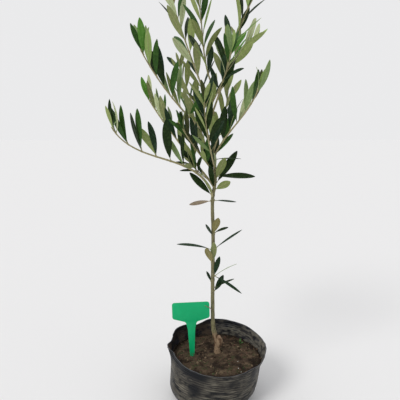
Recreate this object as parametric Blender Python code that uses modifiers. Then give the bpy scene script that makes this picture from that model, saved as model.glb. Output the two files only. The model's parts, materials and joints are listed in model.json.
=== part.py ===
"""Young olive tree in a soft black nursery pot, with a plain green plant label.

Metres, +Z up. The origin lies on the pot's flat underside, below the middle of
its soil, and the front of the plant faces -Y. Heights in the tables are counted
from the soil.
"""

import math
import random
from typing import NamedTuple

import bmesh
import bpy
from mathutils import Matrix, Vector
from mathutils.bvhtree import BVHTree

MM = 0.001
GAP = 0.3 * MM

# Pot: a thin soft bag, rounder at its foot on the right, with a crumpled rim
POT_RADIUS = 73.5 * MM
POT_WALL = 1.2 * MM
POT_CORNER = 24.0 * MM
POT_SIDES = 48
CORNER_STEPS = 5
SOIL_LEVEL = 71.0 * MM
RIM_RISE = 13.5 * MM
RIM_SLOPE = 13.9 * MM
RIM_HIGH_SIDE = math.radians(105)
RIM_START = 18.0 * MM
WALL_LEVELS = (0, 6, 12, 18, 32)
FOOT_SHIFT = -5.0 * MM
FOOT_SQUASH = 7.0 * MM
FOOT_SQUASH_SIDE = math.radians(-29)
# Bumps round the rim: side in degrees from +X, rise and flare in mm, half width in degrees
RIM_BUMPS = (
    (5, 0, 8.5, 30),
    (45, 1.5, 2.0, 25),
    (117, -7, -1.0, 13),
    (158, 4, 2.6, 16),
    (186, 1, 7.5, 8),
    (210, -2.5, -1.0, 16),
    (-24, -4, 1.5, 16),
)

# Soil: fills the pot, level where the trunk stands, lower at the wall
SOIL_INSET = POT_WALL + 0.8 * MM
SOIL_RINGS = (12, 25, 38, 51, 62)
SOIL_EDGE_DROP = 2.0 * MM
SOIL_LUMP = 1.2 * MM
# Width of its lumps from side to side, from front to back and across both, and how late its edge drops
LUMPS_ACROSS = 7.0 * MM
LUMPS_DEEP = 9.0 * MM
LUMPS_SLANTED = 5.0 * MM
EDGE_DROP_POWER = 8
FLAT_PATCH = 14.0 * MM

# Plant label: T shape, its stake pushed into the soil
LABEL_FOOT = (-39.1 * MM, -8.7 * MM)
LABEL_WIDTH = 60.0 * MM
LABEL_LENGTH = 100.0 * MM
LABEL_SIDE = 26.5 * MM
LABEL_SHOULDER = 11.0 * MM
LABEL_NECK = 16.0 * MM
LABEL_STAKE = 7.4 * MM
LABEL_POINT = 5.0 * MM
LABEL_CORNER = 4.0 * MM
LABEL_CORNER_STEPS = 4
LABEL_BEND = 2.0 * MM
LABEL_NECK_CURVE = 8.0 * MM
LABEL_THICKNESS = 1.0 * MM
LABEL_IN_SOIL = 9.2 * MM
LABEL_LEAN = math.radians(1.6)
LABEL_TURN = math.radians(3)

# Trunk: height, x, y and radius in mm. It leans left, kinks at the fork and runs on to its top
TRUNK = (
    (0, 2.1, 2.4, 5.4),
    (7, 1.4, 2.4, 4.6),
    (20, 0.2, 2.0, 3.7),
    (34, -3.3, 1.4, 4.0),
    (50, -5.7, 0.8, 3.4),
    (110, -6.6, 0.0, 3.0),
    (200, -6.2, -0.8, 2.8),
    (254, -7.4, -0.6, 2.7),
    (288, -3.0, 0.4, 2.4),
    (325, -5.8, 0.6, 2.2),
    (370, -11.0, 0.0, 2.0),
    (407, -8.3, -0.8, 1.8),
    (432, -7.4, 0.0, 1.6),
)
TRUNK_STEP = 14.0 * MM
FLAT_FOOT = 2.0 * MM
# Knob beside the foot where the old stem was cut off: x, y, height and radius in mm
KNOB = (
    (1.8, 2.0, 8, 2.8),
    (3.9, 1.3, 15, 5.2),
    (5.0, 0.9, 20.5, 5.6),
    (4.4, 0.5, 26, 4.1),
    (3.2, 0.2, 29.3, 2.4),
)
# Dry twig low on the stem
TWIG_HEIGHT = 74
TWIG_REACH = (-13.2, -25, 17)
TWIG_RADII = (0.7 * MM, 0.56 * MM, 0.35 * MM)

# Leaves: size of the first ones of a shoot as a share of its longest, and what the last ones lose
LEAF_AT_FOOT = 0.84
LEAF_LOSS_AT_TIP = 0.1
# Share of the length, half width and half thickness at the five rings of one leaf
LEAF_SHARE = (-0.02, 0.09, 0.42, 0.78, 1.0)
LEAF_HALF_WIDTH = (0.0, 0.1, 0.5, 0.4, 0.0)
LEAF_HALF_THICKNESS = (0.0, 0.8, 0.7, 0.6, 0.0)
LEAF_THICKNESS = 0.9 * MM
LEAF_ARCH = 0.05
LEAF_SLENDERNESS = 0.187
# How much the leaves of a shoot differ in length and in slenderness, how far they turn about
# themselves, and how far they point astray at first and more with each further try
LENGTH_RANGE = (0.86, 1.12)
WIDTH_RANGE = (0.85, 1.2)
LEAF_ROLL = 0.5
LEAF_ASTRAY = 0.1
TRY_ASTRAY = 0.05
# Upright leaves turn their blades by this share towards the light in front or behind
LIGHT_TURN = 0.5
STALK_RADIUS = 0.8 * MM
SHOOT_SIDE = Vector((0, 1, 0.2))
LEAF_CLEARANCE = 0.5 * MM
LEAF_TRIES = 14
# How far each further try turns a leaf of the trunk sideways and up or down, in degrees
SIDE_TRY = 4
RISE_TRY = 2
ROOT_SHARE = 0.16
RIGHT_ANGLE = math.pi / 2
END_SIDES = 12
# Steps along a limb's curve: for its direction and for finding where it leaves its parent's bark
TANGENT_STEP = 0.01
SEAT_STEP = 0.001
BOUGH_RINGS = 6
TWIG_RINGS = 9


class Shoot(NamedTuple):
    """A limb of the crown with the leafy spray at its end; lengths are in mm."""

    name: str
    parent: str
    at: float        # height on the trunk, or share of the parent's length
    reach: tuple     # from its start to its tip
    leave: tuple     # pull of the curve where it starts
    arrive: tuple    # pull of the curve at its tip
    thick: float     # radius at its start
    thin: float      # radius at its tip
    bough: float     # share that is a bare bough, a node of its own
    bare: float      # share before the first leaves
    pairs: int
    leaf: float      # longest leaf
    phase: float     # turn of the first pair, in degrees
    lift: float      # how strongly its leaves turn up


SHOOTS = (
    Shoot("low_left", "trunk", 261, (-141, -65, 103), (-65, -29, 212), (-87, -96, 170),
          2.0, 0.8, 0.21, 0.24, 7, 62, -75, 2.3),
    Shoot("mid_left", "trunk", 275, (-108, 58, 140), (-118, 32, 150), (-90, 70, 145),
          1.9, 0.8, 0.24, 0.28, 7, 56, 15, 1.9),
    Shoot("upper_left", "trunk", 349, (-100, -45, 122), (-122, -20, 106), (-67, -67, 134),
          1.6, 0.8, 0.16, 0.19, 8, 64, 50, 1.7),
    Shoot("tall_left", "trunk", 389, (-65, 45, 189), (-69, 22, 190), (-52, 57, 192),
          1.5, 0.7, 0.15, 0.18, 9, 60, 40, 0.6),
    Shoot("tall_middle", "trunk", 427, (-24, -32, 124), (-59, -13, 117), (-34, -44, 117),
          1.3, 0.7, 0.12, 0.16, 7, 58, 50, 0.5),
    Shoot("tall_right", "trunk", 382, (62, -45, 166), (70, -19, 166), (100, -69, 151),
          1.6, 0.7, 0.28, 0.31, 8, 56, 60, 0.5),
    Shoot("mid_right", "tall_right", 0.2, (55, 58, 88), (51, 36, 109), (90, 66, 63),
          1.2, 0.7, 0.24, 0.28, 6, 56, 65, 0.55),
    Shoot("low_right", "trunk", 321, (57, -65, 94), (47, -31, 115), (22, -89, 94),
          1.5, 0.8, 0.2, 0.23, 6, 60, 45, 1.5),
    Shoot("front", "trunk", 300, (-18, -88, 96), (-12, -95, 50), (-4, -50, 120),
          1.3, 0.7, 0.0, 0.4, 5, 56, 40, 0.7),
    Shoot("back", "trunk", 330, (28, 92, 104), (22, 95, 55), (10, 50, 125),
          1.3, 0.7, 0.0, 0.3, 6, 54, 45, 0.6),
    Shoot("back_left", "trunk", 364, (-50, 74, 100), (-45, 72, 60), (-22, 45, 120),
          1.2, 0.7, 0.0, 0.3, 6, 52, 60, 0.7),
    Shoot("front_right", "trunk", 402, (24, -56, 64), (20, -55, 40), (8, -30, 80),
          1.1, 0.7, 0.0, 0.35, 5, 52, 40, 0.5),
    Shoot("inner_left", "trunk", 296, (-48, -38, 66), (-50, -30, 60), (-40, -30, 70),
          1.2, 0.7, 0.0, 0.25, 6, 52, 35, 0.8),
    Shoot("inner_back", "trunk", 310, (-30, 52, 96), (-40, 50, 70), (-10, 40, 100),
          1.2, 0.7, 0.0, 0.3, 6, 52, 35, 0.6),
    Shoot("fork_left", "mid_left", 0.07, (-30, -17, 28), (-34, -14, 24), (-26, -18, 30),
          0.9, 0.6, 0.0, 0.3, 4, 34, 80, 0.0),
)
# Pairs of leaves: the last ones sit at these shares of their shoot, and each pair leans away from it
LAST_PAIR = 0.95
TIP_PAIR = 0.985
TIP_LEAF = 0.55
PAIR_SPREAD = math.radians(52)
LAST_PAIR_SPREAD = math.radians(30)
TIP_SPREAD = math.radians(16)

# Leaves on the trunk itself: height, side and rise in degrees, length and width in mm, roll in degrees
STEM_LEAVES = (
    (122, 195, 68, 20, 5, -75),
    (131, 8, 28, 42, 3, 0),
    (132, -14, -28, 52, 7, 25),
    (105, 25, 54, 31, 13, 95),
    (132, -20, 76, 34, 9, 120),
    (153, -125, 60, 34, 13, 0),
    (155, -85, 68, 40, 10, 0),
    (175, 176, 9, 57, 9, -8),
    (176, 8, 34, 54, 7, 6),
    (199, -140, 56, 23, 10, 175),
    (201, -62, 66, 31, 13, 0),
    (202, 18, 20, 25, 7, 15),
    (253, 182, -8, 35, 8, 65),
    (254, 6, -4, 36, 9, 8),
    (262, 186, 46, 50, 11, -75),
    (263, -128, 52, 34, 8, 0),
    (112, 12, 21, 36, 5, 10),
    (271, -30, 28, 30, 12, -60),
    (274, -112, 62, 42, 9, 180),
    (281, 10, 56, 60, 12, 75),
    (287, -58, 56, 42, 15, 0),
    (289, 150, 68, 52, 10, -40),
    (291, -12, 3, 60, 11, 50),
    (300, -100, 72, 30, 7, 30),
    (303, -125, 66, 44, 11, 175),
    (314, 205, 56, 46, 12, -60),
    (318, -10, 2, 40, 8, 15),
    (320, 80, 50, 46, 11, 20),
    (324, -18, 50, 44, 11, 45),
    (346, -96, 62, 46, 10, 0),
    (390, -78, 70, 58, 11, 5),
    (412, 10, 52, 40, 9, 50),
)


def new_material(name, colour, roughness):
    """A plain finish."""
    material = bpy.data.materials.new(name)
    material.use_nodes = True
    shader = material.node_tree.nodes["Principled BSDF"]
    shader.inputs["Base Color"].default_value = (*colour, 1)
    shader.inputs["Roughness"].default_value = roughness
    shader.inputs["Metallic"].default_value = 0.0
    return material


def mm(values):
    """A vector written in millimetres, in metres."""
    return Vector(values) * MM


def add_object(name, mesh, material, collection):
    """Puts a mesh into a collection as a named object."""
    made = bpy.data.objects.new(name, mesh)
    mesh.materials.clear()
    mesh.materials.append(material)
    collection.objects.link(made)
    return made


def applied(made):
    """The mesh that an object has with its modifiers or its bevel, with loose caps welded."""
    graph = bpy.context.evaluated_depsgraph_get()
    mesh = bpy.data.meshes.new_from_object(made.evaluated_get(graph), depsgraph=graph)
    work = bmesh.new()
    work.from_mesh(mesh)
    bmesh.ops.remove_doubles(work, verts=work.verts, dist=1e-6)
    work.to_mesh(mesh)
    work.free()
    return mesh


def smooth(made, angle=50):
    """Shades a rounded piece smooth."""
    made.data.shade_smooth()
    made.data.set_sharp_from_angle(angle=math.radians(angle))


def turned(name, profile, sides):
    """The mesh of a profile in X and Z, turned round the Z axis."""
    mesh = bpy.data.meshes.new(name)
    edges = [(i, i + 1) for i in range(len(profile) - 1)]
    mesh.from_pydata([(x, 0, z) for x, z in profile], edges, [])
    guide = bpy.data.objects.new(name, mesh)
    bpy.context.scene.collection.objects.link(guide)
    screw = guide.modifiers.new("Screw", "SCREW")
    screw.steps = screw.render_steps = sides
    screw.use_merge_vertices = True
    screw.merge_threshold = 1e-5
    screw.use_normal_calculate = False
    done = applied(guide)
    bpy.data.objects.remove(guide)
    return done


def tube(name, points, radii, roundness):
    """The mesh of a round limb through these points, with a radius at each."""
    curve = bpy.data.curves.new(name, "CURVE")
    curve.dimensions = "3D"
    curve.bevel_depth = 1.0
    curve.bevel_resolution = roundness
    curve.use_fill_caps = True
    spline = curve.splines.new("POLY")
    spline.points.add(len(points) - 1)
    for target, point, radius in zip(spline.points, points, radii):
        target.co = (*point, 1)
        target.radius = radius
    guide = bpy.data.objects.new(name, curve)
    bpy.context.scene.collection.objects.link(guide)
    done = applied(guide)
    bpy.data.objects.remove(guide)
    return done


def tree_of(mesh):
    """The surface of a mesh, for finding what is near or touches it."""
    return BVHTree.FromPolygons([v.co for v in mesh.vertices], [p.vertices for p in mesh.polygons])


def fused(name, body, others):
    """One closed mesh made of a body and the others that grow from it."""
    group = bpy.data.collections.new(name + "_parts")
    bpy.context.scene.collection.children.link(group)
    base = bpy.data.objects.new(name, body)
    bpy.context.scene.collection.objects.link(base)
    for number, mesh in enumerate(others):
        group.objects.link(bpy.data.objects.new(f"{name}_{number}", mesh))
    union = base.modifiers.new("Union", "BOOLEAN")
    union.operation = "UNION"
    union.operand_type = "COLLECTION"
    union.collection = group
    union.solver = "EXACT"
    done = applied(base)
    for made in [*group.objects, base]:
        bpy.data.objects.remove(made)
    bpy.data.collections.remove(group)
    return done


def bump_share(angle, side, width):
    """How far a bump at one side reaches at an angle, from 0 to 1."""
    turn = (angle - math.radians(side) + math.pi) % math.tau - math.pi
    return math.exp(-((turn / math.radians(width)) ** 2))


def rim_rise(angle):
    """Height of the rim above the soil at an angle."""
    bumps = sum(rise * bump_share(angle, side, width) for side, rise, _, width in RIM_BUMPS)
    return RIM_RISE + RIM_SLOPE * math.cos(angle - RIM_HIGH_SIDE) + bumps * MM


def rim_flare(angle):
    """How far the rim leans out at an angle."""
    return sum(flare * bump_share(angle, side, width) for side, _, flare, width in RIM_BUMPS) * MM


def pot_shaped(point):
    """Where a point of the plain turned pot lies on the crumpled one, at the same height."""
    radius, angle = math.hypot(point.x, point.y), math.atan2(point.y, point.x)
    upper = max(point.z - SOIL_LEVEL + RIM_START, 0) / (RIM_START + rim_rise(angle))
    lower = max(1 - point.z / SOIL_LEVEL, 0)
    squash = FOOT_SQUASH * lower ** 2 * (1 + math.cos(angle - FOOT_SQUASH_SIDE)) / 2
    radius += (upper ** 2 * rim_flare(angle) - squash) * radius / POT_RADIUS
    shift = FOOT_SHIFT * lower
    return Vector((radius * math.cos(angle) + shift, radius * math.sin(angle), point.z))


def rim_raised(point):
    """Where a point of the level pot lies once its rim rises and falls."""
    share = max(point.z - SOIL_LEVEL + RIM_START, 0) / (RIM_START + RIM_RISE)
    rise = rim_rise(math.atan2(point.y, point.x)) - RIM_RISE
    return Vector((point.x, point.y, point.z + share * rise))


def corner(inset):
    """The rounded foot of the pot's profile, from its wall to its flat underside."""
    radius = POT_CORNER - inset
    turns = (RIGHT_ANGLE * step / CORNER_STEPS for step in range(CORNER_STEPS + 1))
    middle = POT_RADIUS - POT_CORNER
    return [(middle + radius * math.cos(turn), POT_CORNER - radius * math.sin(turn)) for turn in turns]


def wall(inset):
    """The upright part of the pot's profile, from the soil's level down."""
    return [(POT_RADIUS - inset, SOIL_LEVEL - drop * MM) for drop in WALL_LEVELS]


def make_pot(material, collection):
    """The thin soft pot, open at its crumpled rim."""
    rim = [(POT_RADIUS, SOIL_LEVEL + RIM_RISE), (POT_RADIUS, SOIL_LEVEL + RIM_RISE / 2)]
    mesh = turned("pot", rim + wall(0) + corner(0) + [(0, 0)], POT_SIDES)
    for vertex in mesh.vertices:
        vertex.co = pot_shaped(rim_raised(vertex.co))
    pot = add_object("pot", mesh, material, collection)
    shell = pot.modifiers.new("Wall", "SOLIDIFY")
    shell.thickness = POT_WALL
    shell.offset = -1
    shell.use_even_offset = True
    smooth(pot)


def soil_lumps(x, y):
    """Height of the lumpy soil over its level, none where the trunk stands."""
    distance = math.hypot(x, y)
    fade = min(max((distance - FLAT_PATCH) / FLAT_PATCH, 0), 1)
    waves = math.sin(x / LUMPS_ACROSS + 1) * math.cos(y / LUMPS_DEEP) + math.sin((x + y) / LUMPS_SLANTED)
    drop = SOIL_EDGE_DROP * (distance / POT_RADIUS) ** EDGE_DROP_POWER
    return fade * SOIL_LUMP * waves / 2 - drop


def label_outline(grow):
    """Half outline of the label from its point up to its top, each side grown by this much."""
    neck = LABEL_LENGTH - LABEL_SIDE - LABEL_SHOULDER
    half = LABEL_WIDTH / 2 + grow
    top = LABEL_LENGTH + grow
    turns = [RIGHT_ANGLE * step / LABEL_CORNER_STEPS for step in range(LABEL_CORNER_STEPS + 1)]
    rounded = [
        (half - LABEL_CORNER + LABEL_CORNER * math.cos(t), top - LABEL_CORNER + LABEL_CORNER * math.sin(t))
        for t in turns
    ]
    return [
        (LABEL_POINT / 2 + grow, -grow),
        (LABEL_STAKE / 2 + grow, LABEL_IN_SOIL),
        (LABEL_NECK / 2 - LABEL_BEND + grow, neck - LABEL_NECK_CURVE),
        (LABEL_NECK / 2 + grow, neck),
        (half - LABEL_CORNER, neck + LABEL_SHOULDER - LABEL_BEND),
        (half, neck + LABEL_SHOULDER + LABEL_BEND),
        *rounded,
    ]


def label_mesh(name, grow):
    """The flat label as an upright solid, grown by this much all round."""
    right = label_outline(grow)
    outline = right + [(-x, z) for x, z in reversed(right)]
    curve = bpy.data.curves.new(name, "CURVE")
    curve.dimensions = "2D"
    curve.fill_mode = "BOTH"
    curve.extrude = LABEL_THICKNESS / 2 + grow
    spline = curve.splines.new("POLY")
    spline.points.add(len(outline) - 1)
    for target, (x, z) in zip(spline.points, outline):
        target.co = (x, z, 0, 1)
    spline.use_cyclic_u = True
    guide = bpy.data.objects.new(name, curve)
    bpy.context.scene.collection.objects.link(guide)
    mesh = applied(guide)
    bpy.data.objects.remove(guide)
    stand = Matrix.Rotation(RIGHT_ANGLE, 4, "X")
    lean = Matrix.Rotation(-LABEL_LEAN, 4, "Y") @ Matrix.Rotation(LABEL_TURN, 4, "Z")
    place = Matrix.Translation((*LABEL_FOOT, SOIL_LEVEL - LABEL_IN_SOIL))
    mesh.transform(place @ lean @ stand)
    return mesh


def make_soil(material, collection, cutters):
    """The soil that fills the pot, with a slot for the label's stake."""
    top = [(0, SOIL_LEVEL)] + [(ring * MM, SOIL_LEVEL) for ring in SOIL_RINGS]
    profile = top + wall(SOIL_INSET) + corner(SOIL_INSET) + [(0, SOIL_INSET)]
    mesh = turned("soil", profile, POT_SIDES)
    for vertex in mesh.vertices:
        if vertex.co.z > SOIL_LEVEL - GAP:
            vertex.co.z += soil_lumps(vertex.co.x, vertex.co.y)
        vertex.co = pot_shaped(vertex.co)
    soil = add_object("soil", mesh, material, collection)
    slot = add_object("label_slot", label_mesh("label_slot", GAP), material, cutters)
    slot.hide_render = True
    slot.display_type = "WIRE"
    cut = soil.modifiers.new("Slot", "BOOLEAN")
    cut.operation = "DIFFERENCE"
    cut.object = slot
    smooth(soil)


def trunk_at(height):
    """The middle and the radius of the trunk at a height above the soil, both in metres."""
    heights = [row[0] for row in TRUNK]
    index = max(i for i, low in enumerate(heights[:-1]) if low <= height or i == 0)
    share = (height - heights[index]) / (heights[index + 1] - heights[index])
    before, after = TRUNK[max(index - 1, 0)], TRUNK[min(index + 2, len(TRUNK) - 1)]
    here, there = TRUNK[index], TRUNK[index + 1]
    values = []
    for column in (1, 2, 3):
        run = there[0] - here[0]
        pull_in = (there[column] - before[column]) / (there[0] - before[0]) * run
        pull_out = (after[column] - here[column]) / (after[0] - here[0]) * run
        values.append(blend(here[column], there[column], pull_in, pull_out, share))
    x, y, radius = values
    return mm((x, y, height)) + Vector((0, 0, SOIL_LEVEL)), radius * MM


def blend(start, end, leave, arrive, share):
    """A value or a point on the smooth curve between two, with a pull at each end."""
    square, cube = share ** 2, share ** 3
    return (
        (2 * cube - 3 * square + 1) * start
        + (cube - 2 * square + share) * leave
        + (3 * square - 2 * cube) * end
        + (cube - square) * arrive
    )


def make_trunk(material, collection):
    """The trunk from its flat foot to its top, with the knob beside its foot."""
    top = TRUNK[-1][0]
    steps = round(mm((0, 0, top)).length / TRUNK_STEP)
    rings = [trunk_at(top * step / steps) for step in range(steps + 1)]
    rings.insert(1, trunk_at(TRUNK[1][0] / 2))
    points = [point + Vector((0, 0, GAP)) for point, _ in rings]
    mesh = tube("trunk", points, [radius for _, radius in rings], 2)
    for vertex in mesh.vertices:
        if vertex.co.z < SOIL_LEVEL + FLAT_FOOT:
            vertex.co.z = SOIL_LEVEL + GAP
    middles = [mm(row[:3]) + Vector((0, 0, SOIL_LEVEL)) for row in KNOB]
    knob = tube("knob", middles, [row[3] * MM for row in KNOB], 1)
    trunk = add_object("trunk", fused("trunk_solid", mesh, [knob]), material, collection)
    smooth(trunk)
    return tree_of(trunk.data)


def shoot_start(shoot, shoots):
    """The point on its parent's middle line from which a shoot grows."""
    if shoot.parent == "trunk":
        return trunk_at(shoot.at)[0]
    return shoot_point(shoots[shoot.parent], shoot.at, shoots)


def shoot_point(shoot, share, shoots):
    """The point at a share of a shoot's curve."""
    start = shoot_start(shoot, shoots)
    return blend(start, start + mm(shoot.reach), mm(shoot.leave), mm(shoot.arrive), share)


def shoot_tangent(shoot, share, shoots):
    """The direction in which a shoot grows at a share of its curve."""
    ahead = shoot_point(shoot, min(share + TANGENT_STEP, 1), shoots)
    return (ahead - shoot_point(shoot, max(share - TANGENT_STEP, 0), shoots)).normalized()


def shoot_radius(shoot, share):
    """The radius at a share of a shoot's curve."""
    return (shoot.thick + (shoot.thin - shoot.thick) * share) * MM


def end_points(shoot, share, shoots):
    """The middle of a shoot's flat end at a share of its curve, and points round its edge."""
    middle, along = shoot_point(shoot, share, shoots), shoot_tangent(shoot, share, shoots)
    arm = along.orthogonal().normalized() * shoot_radius(shoot, share)
    turns = [math.tau * step / END_SIDES for step in range(END_SIDES)]
    return [middle] + [middle + Matrix.Rotation(turn, 3, along) @ arm for turn in turns]


def is_outside(point, tree):
    """Whether a point lies outside a surface, clear of it by the gap."""
    nearest, normal, _, away = tree.find_nearest(point)
    return (point - nearest).dot(normal) > 0 and away > GAP


def clear_share(shoot, shoots, parent_tree):
    """The share of its curve at which a shoot's flat end has just left its parent's bark."""
    share = 0.0
    while not all(is_outside(point, parent_tree) for point in end_points(shoot, share, shoots)):
        share += SEAT_STEP
    return share


def limb_mesh(name, shoot, shoots, first, last, steps, roundness):
    """The mesh of one stretch of a shoot."""
    shares = [first + (last - first) * step / steps for step in range(steps + 1)]
    points = [shoot_point(shoot, share, shoots) for share in shares]
    return tube(name, points, [shoot_radius(shoot, share) for share in shares], roundness)


def leaf_mesh(name, root, along, face, length, width, grow=0.0):
    """One leaf as a closed lens, from its root along a direction, its upper side turned to face."""
    across = face.cross(along).normalized()
    normal = along.cross(across)
    work = bmesh.new()
    bmesh.ops.create_uvsphere(work, u_segments=4, v_segments=4, radius=1)
    for vertex in work.verts:
        ring = round((math.asin(max(-1.0, min(1.0, vertex.co.z))) + RIGHT_ANGLE) / (math.pi / 4))
        share = LEAF_SHARE[ring]
        side = math.copysign(1, vertex.co.x) if abs(vertex.co.x) > 0.1 else 0
        rise = math.copysign(1, vertex.co.y) if abs(vertex.co.y) > 0.1 else 0
        half = max(LEAF_HALF_WIDTH[ring] * width, STALK_RADIUS if ring else 0) + grow
        thick = LEAF_HALF_THICKNESS[ring] * LEAF_THICKNESS + grow
        sag = math.sin(math.pi * min(max(share, 0), 1)) * LEAF_ARCH * length
        vertex.co = (
            root + along * (share * length + (grow if ring == 4 else 0))
            + across * side * half + normal * (rise * thick + sag)
        )
    mesh = bpy.data.meshes.new(name)
    work.to_mesh(mesh)
    work.free()
    return mesh


def jittered(rng, along, loose):
    """A direction after a small seeded turn."""
    jitter = Vector((rng.uniform(-1, 1), rng.uniform(-1, 1), rng.uniform(-1, 1)))
    return (along + jitter * loose).normalized()


def upper_side(along, growth, roll, light_turn):
    """The way a leaf's upper side looks: towards the growing tip, then to the light, then rolled."""
    face = (growth - along * growth.dot(along)).normalized()
    light = Vector((0, math.copysign(1, face.y), 0))
    face = face.lerp(light, light_turn)
    face = (face - along * face.dot(along)).normalized()
    return Matrix.Rotation(roll, 3, along) @ face


def is_clear(root, along, face, length, width, owner, surfaces):
    """Whether a leaf, grown by the clearance, touches nothing but its owner, and that only at its root."""
    for skipped in (0.0, ROOT_SHARE):
        start = root + along * length * skipped
        rest = length * (1 - skipped)
        hull = leaf_mesh("clearance", start, along, face, rest, width, LEAF_CLEARANCE)
        leaf = tree_of(hull)
        bpy.data.meshes.remove(hull)
        if any(leaf.overlap(tree) for name, tree in surfaces if skipped or name != owner):
            return False
    return True


def leaf_size(part):
    """The length of a leaf as a share of the longest, from the foot of the leafy stretch to its tip."""
    return LEAF_AT_FOOT + (1 - LEAF_AT_FOOT) * math.sin(math.pi * part) - LEAF_LOSS_AT_TIP * part


def leaf_places(shoot, shoots):
    """For each leaf of a shoot, from its foot to its tip: root, growth, direction and length share."""
    for pair in range(shoot.pairs + 1):
        at_tip = pair == shoot.pairs
        part = min(pair / (shoot.pairs - 1), 1)
        share = TIP_PAIR if at_tip else shoot.bare + (LAST_PAIR - shoot.bare) * part
        root = shoot_point(shoot, share, shoots)
        growth = shoot_tangent(shoot, share, shoots)
        side = growth.cross(SHOOT_SIDE).normalized()
        spread = TIP_SPREAD if at_tip else PAIR_SPREAD + (LAST_PAIR_SPREAD - PAIR_SPREAD) * part
        turn = math.radians(shoot.phase) + RIGHT_ANGLE * pair
        size = TIP_LEAF if at_tip else leaf_size(part)
        for half in (0, math.pi):
            out = Matrix.Rotation(turn + half, 3, growth) @ side
            along = growth * math.cos(spread) + out * math.sin(spread)
            yield root, growth, (along + Vector((0, 0, shoot.lift))).normalized(), size


def make_spray(shoot, shoots, first, surfaces, material, collection):
    """The leafy end of a shoot: its twig with the leaves that have room, grown together."""
    twig = limb_mesh(shoot.name, shoot, shoots, first, 1.0, TWIG_RINGS, 0)
    leaves = []
    for number, (root, growth, along, size) in enumerate(leaf_places(shoot, shoots)):
        rng = random.Random(f"{shoot.name} {number}")
        length = shoot.leaf * size * rng.uniform(*LENGTH_RANGE) * MM
        width = length * LEAF_SLENDERNESS * rng.uniform(*WIDTH_RANGE)
        for attempt in range(LEAF_TRIES):
            way = jittered(rng, along, LEAF_ASTRAY + TRY_ASTRAY * attempt)
            face = upper_side(way, growth, rng.gauss(0, LEAF_ROLL), LIGHT_TURN)
            if is_clear(root, way, face, length, width, shoot.name, surfaces):
                leaves.append(leaf_mesh("leaf", root, way, face, length, width))
                surfaces.append((shoot.name, tree_of(leaves[-1])))
                break
    mesh = fused(shoot.name + "_solid", twig, leaves)
    add_object(shoot.name + "_spray", mesh, material, collection)


def make_stem_leaves(surfaces, material, collection):
    """The leaves that grow from the trunk itself, each with its stalk just clear of the bark."""
    rng = random.Random("stem leaves")
    for number, (height, side, rise, length, width, roll) in enumerate(STEM_LEAVES, 1):
        middle, radius = trunk_at(height)
        for attempt in range(LEAF_TRIES):
            turn = math.radians(side + rng.uniform(-SIDE_TRY, SIDE_TRY) * attempt)
            lift = math.radians(rise + rng.uniform(-RISE_TRY, RISE_TRY) * attempt)
            out = Vector((math.cos(turn), math.sin(turn), 0))
            along = out * math.cos(lift) + Vector((0, 0, math.sin(lift)))
            face = upper_side(along, Vector((0, 0, 1)), math.radians(roll), 0.0)
            root = middle + out * (radius + STALK_RADIUS) + along * GAP
            if is_clear(root, along, face, length * MM, width * MM, "trunk", surfaces):
                mesh = leaf_mesh("leaf", root, along, face, length * MM, width * MM)
                name = f"stem_leaf_{number:02d}"
                surfaces.append((name, tree_of(mesh)))
                add_object(name, mesh, material, collection)
                break


def make_dry_twig(material, collection):
    """The thin dead twig low on the stem."""
    middle, radius = trunk_at(TWIG_HEIGHT)
    way = mm(TWIG_REACH).normalized()
    flat = Vector((way.x, way.y, 0)).normalized()
    start = middle + flat * (radius + TWIG_RADII[0]) + way * GAP
    points = [start, start + mm(TWIG_REACH) * 0.5 + Vector((0, 0, MM)), start + mm(TWIG_REACH)]
    mesh = tube("dry_twig", points, TWIG_RADII, 0)
    add_object("dry_twig", mesh, material, collection)
    return tree_of(mesh)


def main():
    """Builds the plant and its pot."""
    for made in list(bpy.data.objects):
        bpy.data.objects.remove(made)
    collection = bpy.data.collections.new("young_olive_tree")
    cutters = bpy.data.collections.new("cutters")
    for group in (collection, cutters):
        bpy.context.scene.collection.children.link(group)
    bark = new_material("bark", (0.16, 0.14, 0.075), 0.8)
    foliage = new_material("foliage", (0.075, 0.12, 0.045), 0.5)
    make_pot(new_material("black_plastic", (0.022, 0.024, 0.028), 0.5), collection)
    make_soil(new_material("soil", (0.06, 0.04, 0.028), 0.95), collection, cutters)
    green = new_material("green_plastic", (0.006, 0.35, 0.12), 0.4)
    label = add_object("label", label_mesh("label", 0.0), green, collection)
    trunk_tree = make_trunk(bark, collection)
    shoots = {shoot.name: shoot for shoot in SHOOTS}
    surfaces = [("trunk", trunk_tree), ("label", tree_of(label.data))]
    surfaces.append(("dry_twig", make_dry_twig(bark, collection)))
    starts = {}
    for shoot in SHOOTS:
        first = clear_share(shoot, shoots, dict(surfaces)[shoot.parent])
        if shoot.bough:
            mesh = limb_mesh(shoot.name, shoot, shoots, first, shoot.bough, BOUGH_RINGS, 1)
            smooth(add_object(shoot.name + "_bough", mesh, bark, collection))
            surfaces.append((shoot.name, tree_of(mesh)))
            first = shoot.bough + GAP / mm(shoot.reach).length
        starts[shoot.name] = first
    for shoot in SHOOTS:
        twig = limb_mesh(shoot.name, shoot, shoots, starts[shoot.name], 1.0, TWIG_RINGS, 0)
        surfaces.append((shoot.name, tree_of(twig)))
        bpy.data.meshes.remove(twig)
    make_stem_leaves(surfaces, foliage, collection)
    for shoot in SHOOTS:
        make_spray(shoot, shoots, starts[shoot.name], surfaces, foliage, collection)


main()
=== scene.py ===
"""Looks of a young olive tree in a soft nursery pot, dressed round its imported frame.

Everything is in metres in the frame's axes: +Z up, the front faces -Y, and the
origin lies on the pot's underside. Tables that say so are in millimetres, with
heights counted from the soil.
"""

import json
import logging
import math
import random
from collections.abc import Callable, Iterable, Iterator, Mapping, Sequence
from dataclasses import dataclass, field
from enum import Enum, IntEnum

import bmesh
import bpy
from mathutils import Matrix, Vector, noise
from mathutils.bvhtree import BVHTree

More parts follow.
